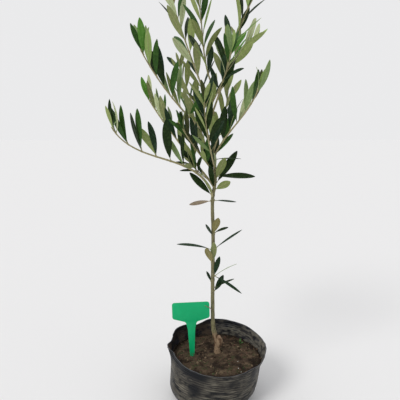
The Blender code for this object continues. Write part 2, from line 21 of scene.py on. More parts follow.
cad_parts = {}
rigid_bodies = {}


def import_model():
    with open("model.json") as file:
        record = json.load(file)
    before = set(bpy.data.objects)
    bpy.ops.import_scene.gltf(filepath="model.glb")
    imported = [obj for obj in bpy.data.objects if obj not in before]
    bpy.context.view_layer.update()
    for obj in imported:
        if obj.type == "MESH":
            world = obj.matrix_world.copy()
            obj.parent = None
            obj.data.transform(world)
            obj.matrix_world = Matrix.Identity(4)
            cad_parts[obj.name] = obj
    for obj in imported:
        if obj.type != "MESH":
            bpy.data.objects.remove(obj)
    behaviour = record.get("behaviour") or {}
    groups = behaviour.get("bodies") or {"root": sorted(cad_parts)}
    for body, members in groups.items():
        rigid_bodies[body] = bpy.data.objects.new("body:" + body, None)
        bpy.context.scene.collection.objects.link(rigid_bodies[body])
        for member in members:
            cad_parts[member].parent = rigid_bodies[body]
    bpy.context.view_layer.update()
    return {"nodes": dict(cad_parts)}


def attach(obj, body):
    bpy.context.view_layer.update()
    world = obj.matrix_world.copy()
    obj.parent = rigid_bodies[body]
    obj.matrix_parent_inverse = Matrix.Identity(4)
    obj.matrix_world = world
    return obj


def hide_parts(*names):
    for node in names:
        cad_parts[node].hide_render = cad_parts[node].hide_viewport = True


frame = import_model()

LOG = logging.getLogger("young_olive")
BODY = "root"
MM = 0.001
SOIL_LEVEL = 71 * MM
RIGHT_ANGLE = math.pi / 2

UP = Vector((0, 0, 1))
EVEN = (1.0, 1.0, 1.0)

Colour = tuple[float, float, float]
Tones = tuple[Colour, Colour]
Stretch = tuple[float, float, float]
Range = tuple[float, float]
Ring = list[Vector]


class Slot(Enum):
    """The record's material slots."""

    POT = "black_plastic"
    SOIL = "soil"
    LABEL = "green_plastic"
    BARK = "bark"
    FOLIAGE = "foliage"


class Film(IntEnum):
    """The parts of the pot's film, in the order of its finishes."""

    OUTSIDE = 0
    INSIDE = 1
    # The lip takes a lighter finish: a painted highlight along the film's edge.
    LIP = 2


class Crumb(IntEnum):
    """The kinds of crumbs on the soil, in the order of their finishes."""

    DARK = 0
    BROWN = 1
    TAN = 2
    RED = 3
    WHITE = 4


class Shade(IntEnum):
    """How old a leaf is, which settles the colours of its two sides."""

    DEEP = 0
    TEAL = 1
    MATURE = 2
    FRESH = 3
    PALE = 4
    OLIVE = 5
    DRY = 6


def mm(values: Sequence[float]) -> Vector:
    """A vector written in millimetres, in metres."""
    return Vector(values) * MM


def rgba(colour: Colour) -> tuple[float, float, float, float]:
    """An opaque colour with its alpha."""
    return (*colour, 1.0)


def blend(start: Vector, end: Vector, leave: Vector, arrive: Vector, share: float) -> Vector:
    """A value or point on the smooth curve between two.

    Args:
        start: Where the curve begins.
        end: Where it ends.
        leave: Its pull at the start.
        arrive: Its pull at the end.
        share: How far along it, from 0 to 1.

    Returns:
        The value or point there.
    """
    square, cube = share**2, share**3
    return (
        (2 * cube - 3 * square + 1) * start
        + (cube - 2 * square + share) * leave
        + (3 * square - 2 * cube) * end
        + (cube - square) * arrive
    )


def level(side: float) -> Vector:
    """The level direction to a side, in radians."""
    return Vector((math.cos(side), math.sin(side), 0))


def rising(side: float, rise: float) -> Vector:
    """The direction to a side with a rise, in radians."""
    return level(side) * math.cos(rise) + UP * math.sin(rise)


def wave(angle: float, side: float, width: float) -> float:
    """How far a bump at one side of the pot reaches at an angle.

    Args:
        angle: The angle, in radians.
        side: The bump's middle, in degrees.
        width: Its half width, in degrees.

    Returns:
        A share from 0 to 1.
    """
    turn = (angle - math.radians(side) + math.pi) % math.tau - math.pi
    return math.exp(-((turn / math.radians(width)) ** 2))


@dataclass(frozen=True)
class Ripple:
    """Smooth seeded noise: ripples to a metre and how much faster it changes along each axis."""

    scale: float
    stretch: Stretch = EVEN

    def at(self, point: Vector) -> float:
        """The noise at a point, from about -1 to 1."""
        return noise.noise(Vector(a * b for a, b in zip(point, self.stretch)) * self.scale)


@dataclass
class Draft:
    """The points, faces and finishes of a mesh while it grows."""

    points: list[Vector] = field(default_factory=list)
    faces: list[tuple[int, ...]] = field(default_factory=list)
    slots: list[int] = field(default_factory=list)

    def loft(self, rings: Sequence[Ring], slot: Callable[[int, int], int] | int = 0) -> None:
        """Skins closed rings and closes both ends; a ring of one point is a tip.

        Args:
            rings: Rings of equal size, but for tips at the ends.
            slot: The finish, or a function that gives it for a band and a side.
        """
        def pick(band: int, side: int) -> int:
            """The finish of a face."""
            return slot(band, side) if callable(slot) else slot

        starts = []
        for ring in rings:
            starts.append(len(self.points))
            self.points.extend(ring)
        for band, (low, high) in enumerate(zip(rings, rings[1:])):
            first, second = starts[band], starts[band + 1]
            sides = max(len(low), len(high))
            for side in range(sides):
                after = (side + 1) % sides
                corners = [first + side % len(low), first + after % len(low)]
                corners += [second + after % len(high), second + side % len(high)]
                self.faces.append(tuple(dict.fromkeys(corners)))
                self.slots.append(pick(band, side))
        for ring, start, turned in ((rings[0], starts[0], True), (rings[-1], starts[-1], False)):
            if len(ring) > 1:
                cap = range(start, start + len(ring))
                self.faces.append(tuple(reversed(cap)) if turned else tuple(cap))
                self.slots.append(pick(0 if turned else len(rings) - 2, 0))

    def tree(self) -> BVHTree:
        """The surface, for finding what touches it."""
        return BVHTree.FromPolygons(self.points, self.faces)

    def add(self, other: "Draft", slot: int | None = None) -> None:
        """Takes in another draft.

        Args:
            other: The draft to take in.
            slot: A finish for all its faces, or None to keep its own.
        """
        start = len(self.points)
        self.points.extend(other.points)
        self.faces.extend(tuple(start + corner for corner in face) for face in other.faces)
        self.slots.extend(other.slots if slot is None else [slot] * len(other.faces))

    def piece(
        self, name: str, finishes: Sequence[bpy.types.Material], crease: float = 40
    ) -> bpy.types.Object:
        """Makes the mesh a smooth-shaded object.

        Args:
            name: The object's name.
            finishes: Its materials, in the order of the slots.
            crease: The angle in degrees past which an edge stays sharp.

        Returns:
            The new object.
        """
        mesh = bpy.data.meshes.new(name)
        mesh.from_pydata(self.points, [], self.faces)
        for finish in finishes:
            mesh.materials.append(finish)
        mesh.polygons.foreach_set("material_index", self.slots)
        mesh.shade_smooth()
        mesh.set_sharp_from_angle(angle=math.radians(crease))
        mesh.update()
        made = bpy.data.objects.new(name, mesh)
        bpy.context.scene.collection.objects.link(made)
        return made


def tube_rings(points: Sequence[Vector], radius: Callable[[int, Vector], float], sides: int) -> list[Ring]:
    """The rings of a round limb through these points, with no twist from one to the next.

    Args:
        points: Its middle line.
        radius: Gives the radius for a ring's number and the way out from the middle line.
        sides: Points to a ring.

    Returns:
        One ring for each point.
    """
    rings, arm = [], None
    for number, point in enumerate(points):
        along = points[min(number + 1, len(points) - 1)] - points[max(number - 1, 0)]
        along = along.normalized()
        arm = along.orthogonal() if arm is None else arm - along * arm.dot(along)
        arm = arm.normalized()
        other = along.cross(arm)
        ring = []
        for step in range(sides):
            turn = math.tau * step / sides
            out = arm * math.cos(turn) + other * math.sin(turn)
            ring.append(point + out * radius(number, out))
        rings.append(ring)
    return rings


def dress(made: bpy.types.Object, slot: Slot, *nodes: str) -> bpy.types.Object:
    """Hands a piece to the frame.

    Args:
        made: The piece, in its place.
        slot: The record's slot that it takes its finish from; not used.
        nodes: The frame's nodes that it stands for.

    Returns:
        The piece.
    """
    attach(made, BODY)
    if nodes:
        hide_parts(*nodes)
    LOG.info("%s: %d faces", made.name, len(made.data.polygons))
    return made


class Wiring:
    """One shader tree, whose nodes are added and joined one at a time."""

    def __init__(self, tree: bpy.types.NodeTree) -> None:
        """Starts on a tree.

        Args:
            tree: The tree to add to.
        """
        self.tree = tree

    def node(self, kind: str, inputs: Mapping[str | int, object], **settings: object) -> bpy.types.Node:
        """Adds a node.

        Args:
            kind: Its type, without the ShaderNode that starts it.
            inputs: Socket names or numbers, each with a value or a socket to join.
            settings: The node's own settings.

        Returns:
            The node.
        """
        made = self.tree.nodes.new("ShaderNode" + kind)
        for key, value in settings.items():
            setattr(made, key, value)
        for key, value in inputs.items():
            if isinstance(value, bpy.types.NodeSocket):
                self.tree.links.new(value, made.inputs[key])
            else:
                made.inputs[key].default_value = value
        return made

    def mix(self, share: object, first: object, second: object) -> bpy.types.NodeSocket:
        """Mixes two colours.

        Args:
            share: How much of the second there is.
            first: A colour or a socket.
            second: A colour or a socket.

        Returns:
            The mixed colour's socket.
        """
        sides = [rgba(side) if isinstance(side, tuple) else side for side in (first, second)]
        return self.node("Mix", {0: share, 6: sides[0], 7: sides[1]}, data_type="RGBA").outputs[2]

    def math(self, operation: str, first: object, second: object) -> bpy.types.NodeSocket:
        """One sum of two values.

        Args:
            operation: Blender's name for it.
            first: A number or a socket.
            second: A number or a socket.

        Returns:
            The result's socket.
        """
        return self.node("Math", {0: first, 1: second}, operation=operation, use_clamp=True).outputs[0]

    def between(self, value: object, low: float, high: float) -> bpy.types.NodeSocket:
        """Where a value lies between two others.

        Args:
            value: The value's socket.
            low: What gives 0.
            high: What gives 1.

        Returns:
            The socket of a smooth share from 0 to 1.
        """
        inputs = {0: value, 1: low, 2: high}
        return self.node("MapRange", inputs, interpolation_type="SMOOTHSTEP").outputs[0]

    def effect(self, group: bpy.types.NodeTree, **inputs: object) -> bpy.types.Node:
        """Places a node group.

        Args:
            group: The group.
            inputs: Its inputs by name.

        Returns:
            The group's node.
        """
        made = self.tree.nodes.new("ShaderNodeGroup")
        made.node_tree = group
        for key, value in inputs.items():
            if isinstance(value, bpy.types.NodeSocket):
                self.tree.links.new(value, made.inputs[key])
            else:
                made.inputs[key].default_value = value
        return made


def new_group(name: str, inputs: Mapping[str, str], outputs: Sequence[str]) -> tuple[Wiring, bpy.types.Node]:
    """Starts a node group.

    Args:
        name: Its name.
        inputs: Its inputs, each with its kind of socket.
        outputs: Its outputs, all numbers.

    Returns:
        Its wiring and its input node.
    """
    tree = bpy.data.node_groups.new(name, "ShaderNodeTree")
    for label, kind in inputs.items():
        tree.interface.new_socket(label, in_out="INPUT", socket_type="NodeSocket" + kind)
    for label in outputs:
        tree.interface.new_socket(label, in_out="OUTPUT", socket_type="NodeSocketFloat")
    return Wiring(tree), tree.nodes.new("NodeGroupInput")


@dataclass
class Effects:
    """The effects that several finishes share, each a node group built once."""

    patches: bpy.types.NodeTree = field(init=False)
    dust: bpy.types.NodeTree = field(init=False)
    grain: bpy.types.NodeTree = field(init=False)

    patch_detail: float = 4.0
    dust_detail: float = 5.0
    dust_roughness: float = 0.65
    dust_ends: Range = (0.75, 1.15)
    grain_detail: float = 6.0
    grain_roughness: float = 0.6
    grain_fineness: float = 0.35

    def __post_init__(self) -> None:
        """Builds the groups."""
        self.patches = self.make_patches()
        self.dust = self.make_dust()
        self.grain = self.make_grain()

    def make_patches(self) -> bpy.types.NodeTree:
        """Patches of noise, round or drawn out by Stretch, as a mask from Low to High.

        Returns:
            The group.
        """
        kinds = {"Stretch": "Vector", "Scale": "Float", "Low": "Float", "High": "Float"}
        wiring, given = new_group("patches", kinds, ("Mask",))
        place = wiring.node("TexCoord", {}).outputs["Object"]
        drawn = wiring.node("VectorMath", {0: place, 1: given.outputs["Stretch"]}, operation="MULTIPLY")
        spread = {"Vector": drawn.outputs[0], "Scale": given.outputs["Scale"], "Detail": self.patch_detail}
        cloud = wiring.node("TexNoise", spread).outputs["Fac"]
        ends = {0: cloud, 1: given.outputs["Low"], 2: given.outputs["High"]}
        mask = wiring.node("MapRange", ends, interpolation_type="SMOOTHSTEP").outputs[0]
        wiring.tree.links.new(mask, wiring.tree.nodes.new("NodeGroupOutput").inputs["Mask"])
        return wiring.tree

    def make_dust(self) -> bpy.types.NodeTree:
        """Settled dust: more of it where the surface looks up, by Lift, broken up by noise.

        Returns:
            The group.
        """
        wiring, given = new_group("dust", {"Scale": "Float", "Cover": "Float", "Lift": "Float"}, ("Mask",))
        place = wiring.node("TexCoord", {}).outputs["Object"]
        spread = {"Vector": place, "Scale": given.outputs["Scale"]}
        cloudy = {"Detail": self.dust_detail, "Roughness": self.dust_roughness}
        cloud = wiring.node("TexNoise", {**spread, **cloudy}).outputs["Fac"]
        normal = wiring.node("NewGeometry", {}).outputs["Normal"]
        upward = wiring.node("SeparateXYZ", {0: normal}).outputs[2]
        share = {0: upward, 1: given.outputs["Lift"], 2: cloud}
        lift = wiring.node("Math", share, operation="MULTIPLY_ADD").outputs[0]
        heap = wiring.node("Math", {0: lift, 1: given.outputs["Cover"]}, operation="ADD").outputs[0]
        mask = wiring.between(heap, *self.dust_ends)
        wiring.tree.links.new(mask, wiring.tree.nodes.new("NodeGroupOutput").inputs["Mask"])
        return wiring.tree

    def make_grain(self) -> bpy.types.NodeTree:
        """Fine relief at two sizes, drawn out by Stretch, as a height from 0 to 1.

        Returns:
            The group.
        """
        wiring, given = new_group("grain", {"Stretch": "Vector", "Scale": "Float"}, ("Height",))
        place = wiring.node("TexCoord", {}).outputs["Object"]
        drawn = wiring.node("VectorMath", {0: place, 1: given.outputs["Stretch"]}, operation="MULTIPLY")
        spread = {"Vector": drawn.outputs[0], "Scale": given.outputs["Scale"]}
        rough = {"Detail": self.grain_detail, "Roughness": self.grain_roughness}
        coarse = wiring.node("TexNoise", {**spread, **rough}).outputs["Fac"]
        fine = wiring.node("TexVoronoi", spread).outputs["Distance"]
        both = {0: fine, 1: self.grain_fineness, 2: coarse}
        height = wiring.node("Math", both, operation="MULTIPLY_ADD").outputs[0]
        wiring.tree.links.new(height, wiring.tree.nodes.new("NodeGroupOutput").inputs["Height"])
        return wiring.tree


@dataclass(frozen=True)
class Patches:
    """One use of the patches: their size, the ends of their mask and how they are drawn out."""

    scale: float
    low: float
    high: float
    stretch: Stretch = EVEN

    def mask(self, wiring: Wiring, effects: Effects) -> bpy.types.NodeSocket:
        """Their mask's socket in a material."""
        ends = {"Stretch": self.stretch, "Scale": self.scale, "Low": self.low, "High": self.high}
        return wiring.effect(effects.patches, **ends).outputs[0]


@dataclass(frozen=True)
class Dust:
    """One use of the dust: the size of its noise, its cover and how much more lies on what looks up."""

    scale: float
    cover: float
    lift: float

    def mask(self, wiring: Wiring, effects: Effects) -> bpy.types.NodeSocket:
        """Its mask's socket in a material."""
        ends = {"Scale": self.scale, "Cover": self.cover, "Lift": self.lift}
        return wiring.effect(effects.dust, **ends).outputs[0]


@dataclass(frozen=True)
class Finish:
    """A finish: two tones that mottle into each other, its gloss and its fine relief."""

    name: str
    base: Colour
    fleck: Colour
    roughness: float
    gloss: float = 0.5
    fleck_scale: float = 300.0
    flecks: Range = (0.45, 0.7)
    stretch: Stretch = EVEN
    grain_scale: float = 900.0
    relief: float = 0.25
    depth: float = 0.0004

    def colour(self, wiring: Wiring, effects: Effects) -> bpy.types.NodeSocket:
        """Its colour over the surface.

        Args:
            wiring: The material's nodes.
            effects: The shared effects.

        Returns:
            The colour's socket.
        """
        flecks = Patches(self.fleck_scale, *self.flecks, self.stretch)
        return wiring.mix(flecks.mask(wiring, effects), self.base, self.fleck)

    def build(self, effects: Effects) -> bpy.types.Material:
        """Makes the material.

        Args:
            effects: The shared effects.

        Returns:
            The new material.
        """
        material = bpy.data.materials.new(self.name)
        material.use_nodes = True
        wiring = Wiring(material.node_tree)
        shader = material.node_tree.nodes["Principled BSDF"]
        shader.inputs["Roughness"].default_value = self.roughness
        shader.inputs["Specular IOR Level"].default_value = self.gloss
        wiring.tree.links.new(self.colour(wiring, effects), shader.inputs["Base Color"])
        grain = wiring.effect(effects.grain, Stretch=self.stretch, Scale=self.grain_scale)
        inputs = {"Height": grain.outputs[0], "Strength": self.relief, "Distance": self.depth}
        wiring.tree.links.new(wiring.node("Bump", inputs).outputs[0], shader.inputs["Normal"])
        return material


@dataclass(frozen=True)
class BarkFinish(Finish):
    """Thin bark with pale corky dots, tan at the foot and splashed with soil there."""

    foot: Colour = (0.285, 0.198, 0.124)
    knot: Colour = (0.110, 0.064, 0.037)
    foot_height: Range = (SOIL_LEVEL + 41 * MM, SOIL_LEVEL + 29 * MM)
    worn: Patches = Patches(240.0, 0.44, 0.58, (1.0, 1.0, 0.5))
    splash: Colour = (0.09, 0.062, 0.043)
    splash_height: Range = (SOIL_LEVEL + 14 * MM, SOIL_LEVEL)
    splashes: Dust = Dust(160.0, 0.3, 0.25)
    dot: Colour = (0.36, 0.34, 0.25)
    dots: Patches = Patches(850.0, 0.62, 0.7)

    def colour(self, wiring: Wiring, effects: Effects) -> bpy.types.NodeSocket:
        """Its colour over the surface.

        Args:
            wiring: The material's nodes.
            effects: The shared effects.

        Returns:
            The colour's socket.
        """
        plain = super().colour(wiring, effects)
        speckled = wiring.mix(self.dots.mask(wiring, effects), plain, self.dot)
        place = wiring.node("TexCoord", {}).outputs["Object"]
        height = wiring.node("SeparateXYZ", {0: place}).outputs[2]
        foot = wiring.mix(self.worn.mask(wiring, effects), self.foot, self.knot)
        tan = wiring.mix(wiring.between(height, *self.foot_height), speckled, foot)
        near = wiring.between(height, *self.splash_height)
        splashed = wiring.math("MULTIPLY", self.splashes.mask(wiring, effects), near)
        return wiring.mix(splashed, tan, self.splash)


@dataclass(frozen=True)
class FilmFinish(Finish):
    """Black film with dried soil: in long thin lines round it and settled on what looks up; painted shade
    darkens a band under the rim.
    """

    smear: Colour = (0.190, 0.174, 0.138)
    lines: Patches = Patches(165.0, 0.44, 0.66, (0.3, 0.3, 4.5))
    breaks: Patches = Patches(48.0, 0.36, 0.60, (1.0, 1.0, 1.6))
    line_share: float = 0.75
    dirt: Colour = (0.098, 0.089, 0.072)
    settled: Dust = Dust(60.0, 0.48, 0.55)
    dirt_share: float = 0.7
    bare: Colour = (0.008, 0.009, 0.011)
    clean_areas: Patches = Patches(30.0, 0.40, 0.56)
    clean: Patches = Patches(60.0, 0.44, 0.60, (1.0, 1.0, 2.5))
    # The rim's slope and level, band and band_side place the painted shadow under the rim on the left.
    rim_slope: tuple[float, float, float] = (-0.049, 0.183, -1.0)
    rim_level: float = SOIL_LEVEL + 13.5 * MM
    band: Range = (17 * MM, 7 * MM)
    band_side: Range = (-2 * MM, -26 * MM)
    spot: tuple[float, float, float] = (-36 * MM, -66 * MM, 46 * MM)
    spot_reach: Range = (19 * MM, 3 * MM)

    def shade_band_and_bare_spot(self, wiring: Wiring) -> bpy.types.NodeSocket:
        """Where the film is painted bare black: a painted shadow in a band under the rim on the left, and a
        dark spot below it.

        Args:
            wiring: The material's nodes.

        Returns:
            The mask's socket.
        """
        place = wiring.node("TexCoord", {}).outputs["Object"]
        across = wiring.node("SeparateXYZ", {0: place}).outputs[0]
        slope = {0: place, 1: self.rim_slope}
        under = wiring.node("VectorMath", slope, operation="DOT_PRODUCT").outputs["Value"]
        depth = wiring.node("Math", {0: under, 1: self.rim_level}, operation="ADD").outputs[0]
        left = wiring.between(across, *self.band_side)
        band = wiring.math("MULTIPLY", wiring.between(depth, *self.band), left)
        away = wiring.node("VectorMath", {0: place, 1: self.spot}, operation="DISTANCE").outputs["Value"]
        return wiring.math("MAXIMUM", band, wiring.between(away, *self.spot_reach))

    def colour(self, wiring: Wiring, effects: Effects) -> bpy.types.NodeSocket:
        """Its colour over the surface.

        Args:
            wiring: The material's nodes.
            effects: The shared effects.

        Returns:
            The colour's socket.
        """
        plain = super().colour(wiring, effects)
        settled = wiring.math("MULTIPLY", self.settled.mask(wiring, effects), self.dirt_share)
        dirty = wiring.mix(settled, plain, self.dirt)
        areas, clean = self.clean_areas.mask(wiring, effects), self.clean.mask(wiring, effects)
        shade_band_and_bare_spot = self.shade_band_and_bare_spot(wiring)
        # The band under the rim is painted shade, in the film's bare black.
        bare_and_shaded = wiring.math("MAXIMUM", wiring.math("MULTIPLY", areas, clean), shade_band_and_bare_spot)
        bare = wiring.mix(bare_and_shaded, dirty, self.bare)
        lines, breaks = self.lines.mask(wiring, effects), self.breaks.mask(wiring, effects)
        left_over = wiring.math("SUBTRACT", self.line_share, shade_band_and_bare_spot)
        smeared = wiring.math("MULTIPLY", wiring.math("MULTIPLY", lines, breaks), left_over)
        return wiring.mix(smeared, bare, self.smear)


@dataclass(frozen=True)
class LinerFinish(FilmFinish):
    """The film's inner side: bluish black, pale with dust on the right and brown near the soil."""

    lines: Patches = Patches(165.0, 0.52, 0.70, (0.3, 0.3, 4.5))
    settled: Dust = Dust(60.0, 0.14, 0.55)
    pale: Colour = (0.150, 0.140, 0.116)
    pale_side: Range = (-8 * MM, 6 * MM)
    pale_height: Range = (SOIL_LEVEL + 21 * MM, SOIL_LEVEL + 10 * MM)
    right_side: Range = (38 * MM, 58 * MM)
    clouds: Patches = Patches(110.0, 0.34, 0.68, (1.0, 1.0, 2.0))
    brown: Colour = (0.085, 0.062, 0.046)
    brown_side: Range = (6 * MM, -14 * MM)
    brown_height: Range = (SOIL_LEVEL + 26 * MM, SOIL_LEVEL + 4 * MM)
    rubbed: Patches = Patches(52.0, 0.36, 0.56)

    def colour(self, wiring: Wiring, effects: Effects) -> bpy.types.NodeSocket:
        """Its colour over the surface.

        Args:
            wiring: The material's nodes.
            effects: The shared effects.

        Returns:
            The colour's socket.
        """
        film = super().colour(wiring, effects)
        place = wiring.node("TexCoord", {}).outputs["Object"]
        across, _, height = wiring.node("SeparateXYZ", {0: place}).outputs
        low = wiring.between(height, *self.pale_height)
        right = wiring.between(across, *self.right_side)
        reach = wiring.math("MAXIMUM", low, right)
        where = wiring.math("MULTIPLY", reach, wiring.between(across, *self.pale_side))
        dust = wiring.math("MULTIPLY", self.clouds.mask(wiring, effects), where)
        dusty = wiring.mix(dust, film, self.pale)
        left = wiring.between(across, *self.brown_side)
        near = wiring.math("MULTIPLY", wiring.between(height, *self.brown_height), left)
        return wiring.mix(wiring.math("MULTIPLY", near, self.rubbed.mask(wiring, effects)), dusty, self.brown)


@dataclass(frozen=True)
class SoilFinish(Finish):
    """Crumbly soil: dark, with mossy, damp and dry patches and painted shade. Hollows are x, y and reach, in
    mm.
    """

    moss: Colour = (0.032, 0.046, 0.018)
    mossy: Patches = Patches(110.0, 0.52, 0.66)
    moss_share: float = 0.6
    damp_and_shade: Colour = (0.016, 0.011, 0.008)
    damps: Patches = Patches(60.0, 0.48, 0.62)
    damp_share: float = 0.85
    dry: Colour = (0.135, 0.098, 0.062)
    dries: Patches = Patches(85.0, 0.53, 0.70)
    dry_share: float = 0.75
    # The edge band and the hollows are where shade is painted, in the damp colour.
    edge: Range = (62 * MM, 71 * MM)
    hollows: tuple[tuple[float, float, float], ...] = (
        (-8, 5.5, 6),
        (35, -58, 5),
        (57, -22, 14),
        (-59, -24, 9),
    )
    hollow_core: float = 1 / 3
    painted_shade_share: float = 0.9

    def sunk(self, wiring: Wiring) -> bpy.types.NodeSocket:
        """Where shade is painted on the soil: round its edge by the film and in a few hollows.

        Args:
            wiring: The material's nodes.

        Returns:
            The mask's socket.
        """
        place = wiring.node("TexCoord", {}).outputs["Object"]
        flatten = {0: place, 1: (1.0, 1.0, 0.0)}
        flat = wiring.node("VectorMath", flatten, operation="MULTIPLY").outputs[0]
        away = wiring.node("VectorMath", {0: flat}, operation="LENGTH").outputs["Value"]
        mask = wiring.between(away, *self.edge)
        for x, y, reach in self.hollows:
            middle = (x * MM, y * MM, 0.0)
            away = wiring.node("VectorMath", {0: flat, 1: middle}, operation="DISTANCE").outputs["Value"]
            hollow = wiring.between(away, reach * MM, reach * MM * self.hollow_core)
            mask = wiring.math("MAXIMUM", mask, hollow)
        return mask

    def colour(self, wiring: Wiring, effects: Effects) -> bpy.types.NodeSocket:
        """Its colour over the surface.

        Args:
            wiring: The material's nodes.
            effects: The shared effects.

        Returns:
            The colour's socket.
        """
        colour = super().colour(wiring, effects)
        layers = (
            (self.mossy.mask(wiring, effects), self.moss_share, self.moss),
            (self.damps.mask(wiring, effects), self.damp_share, self.damp_and_shade),
            (self.dries.mask(wiring, effects), self.dry_share, self.dry),
            # Painted shade round the edge and in the hollows.
            (self.sunk(wiring), self.painted_shade_share, self.damp_and_shade),
        )
        for mask, share, layer in layers:
            colour = wiring.mix(wiring.math("MULTIPLY", mask, share), colour, layer)
        return colour


@dataclass(frozen=True)
class LabelFinish(Finish):
    """Green plastic with soil rubbed on near the ground."""

    mud: Colour = (0.07, 0.05, 0.035)
    mud_height: Range = (SOIL_LEVEL + 9 * MM, SOIL_LEVEL - 2 * MM)
    rubbed: Patches = Patches(420.0, 0.4, 0.6)

    def colour(self, wiring: Wiring, effects: Effects) -> bpy.types.NodeSocket:
        """Its colour over the surface.

        Args:
            wiring: The material's nodes.
            effects: The shared effects.

        Returns:
            The colour's socket.
        """
        plain = super().colour(wiring, effects)
        place = wiring.node("TexCoord", {}).outputs["Object"]
        height = wiring.node("SeparateXYZ", {0: place}).outputs[2]
        near = wiring.between(height, *self.mud_height)
        muddy = wiring.math("MULTIPLY", near, self.rubbed.mask(wiring, effects))
        return wiring.mix(muddy, plain, self.mud)


LEAF_TOPS: dict[Shade, Tones] = {
    # The lighter second tones of the deep and teal tops are partly a painted sheen.
    Shade.DEEP: ((0.009, 0.023, 0.003), (0.021, 0.046, 0.009)),
    Shade.TEAL: ((0.010, 0.028, 0.010), (0.025, 0.055, 0.025)),
    Shade.MATURE: ((0.030, 0.082, 0.014), (0.050, 0.122, 0.022)),
    Shade.FRESH: ((0.075, 0.200, 0.026), (0.112, 0.255, 0.048)),
    Shade.PALE: ((0.180, 0.265, 0.098), (0.235, 0.320, 0.135)),
    Shade.OLIVE: ((0.048, 0.058, 0.020), (0.072, 0.082, 0.030)),
    Shade.DRY: ((0.180, 0.140, 0.095), (0.140, 0.105, 0.070)),
}
LEAF_BACKS: dict[Shade, Tones] = {
    Shade.DEEP: ((0.210, 0.254, 0.087), (0.270, 0.320, 0.114)),
    Shade.TEAL: ((0.232, 0.267, 0.111), (0.302, 0.338, 0.146)),
    Shade.MATURE: ((0.270, 0.342, 0.117), (0.350, 0.428, 0.158)),
    Shade.FRESH: ((0.310, 0.440, 0.136), (0.368, 0.490, 0.180)),
    Shade.PALE: ((0.460, 0.525, 0.288), (0.528, 0.585, 0.350)),
    Shade.OLIVE: ((0.240, 0.215, 0.088), (0.285, 0.255, 0.115)),
    Shade.DRY: ((0.330, 0.260, 0.190), (0.260, 0.200, 0.140)),
}
CRUMB_TONES: dict[Crumb, Tones] = {
    Crumb.DARK: ((0.045, 0.030, 0.020), (0.070, 0.048, 0.032)),
    Crumb.BROWN: ((0.085, 0.058, 0.038), (0.120, 0.085, 0.056)),
    Crumb.TAN: ((0.190, 0.140, 0.090), (0.150, 0.105, 0.066)),
    Crumb.RED: ((0.125, 0.060, 0.045), (0.095, 0.050, 0.036)),
    Crumb.WHITE: ((0.600, 0.580, 0.540), (0.420, 0.400, 0.360)),
}


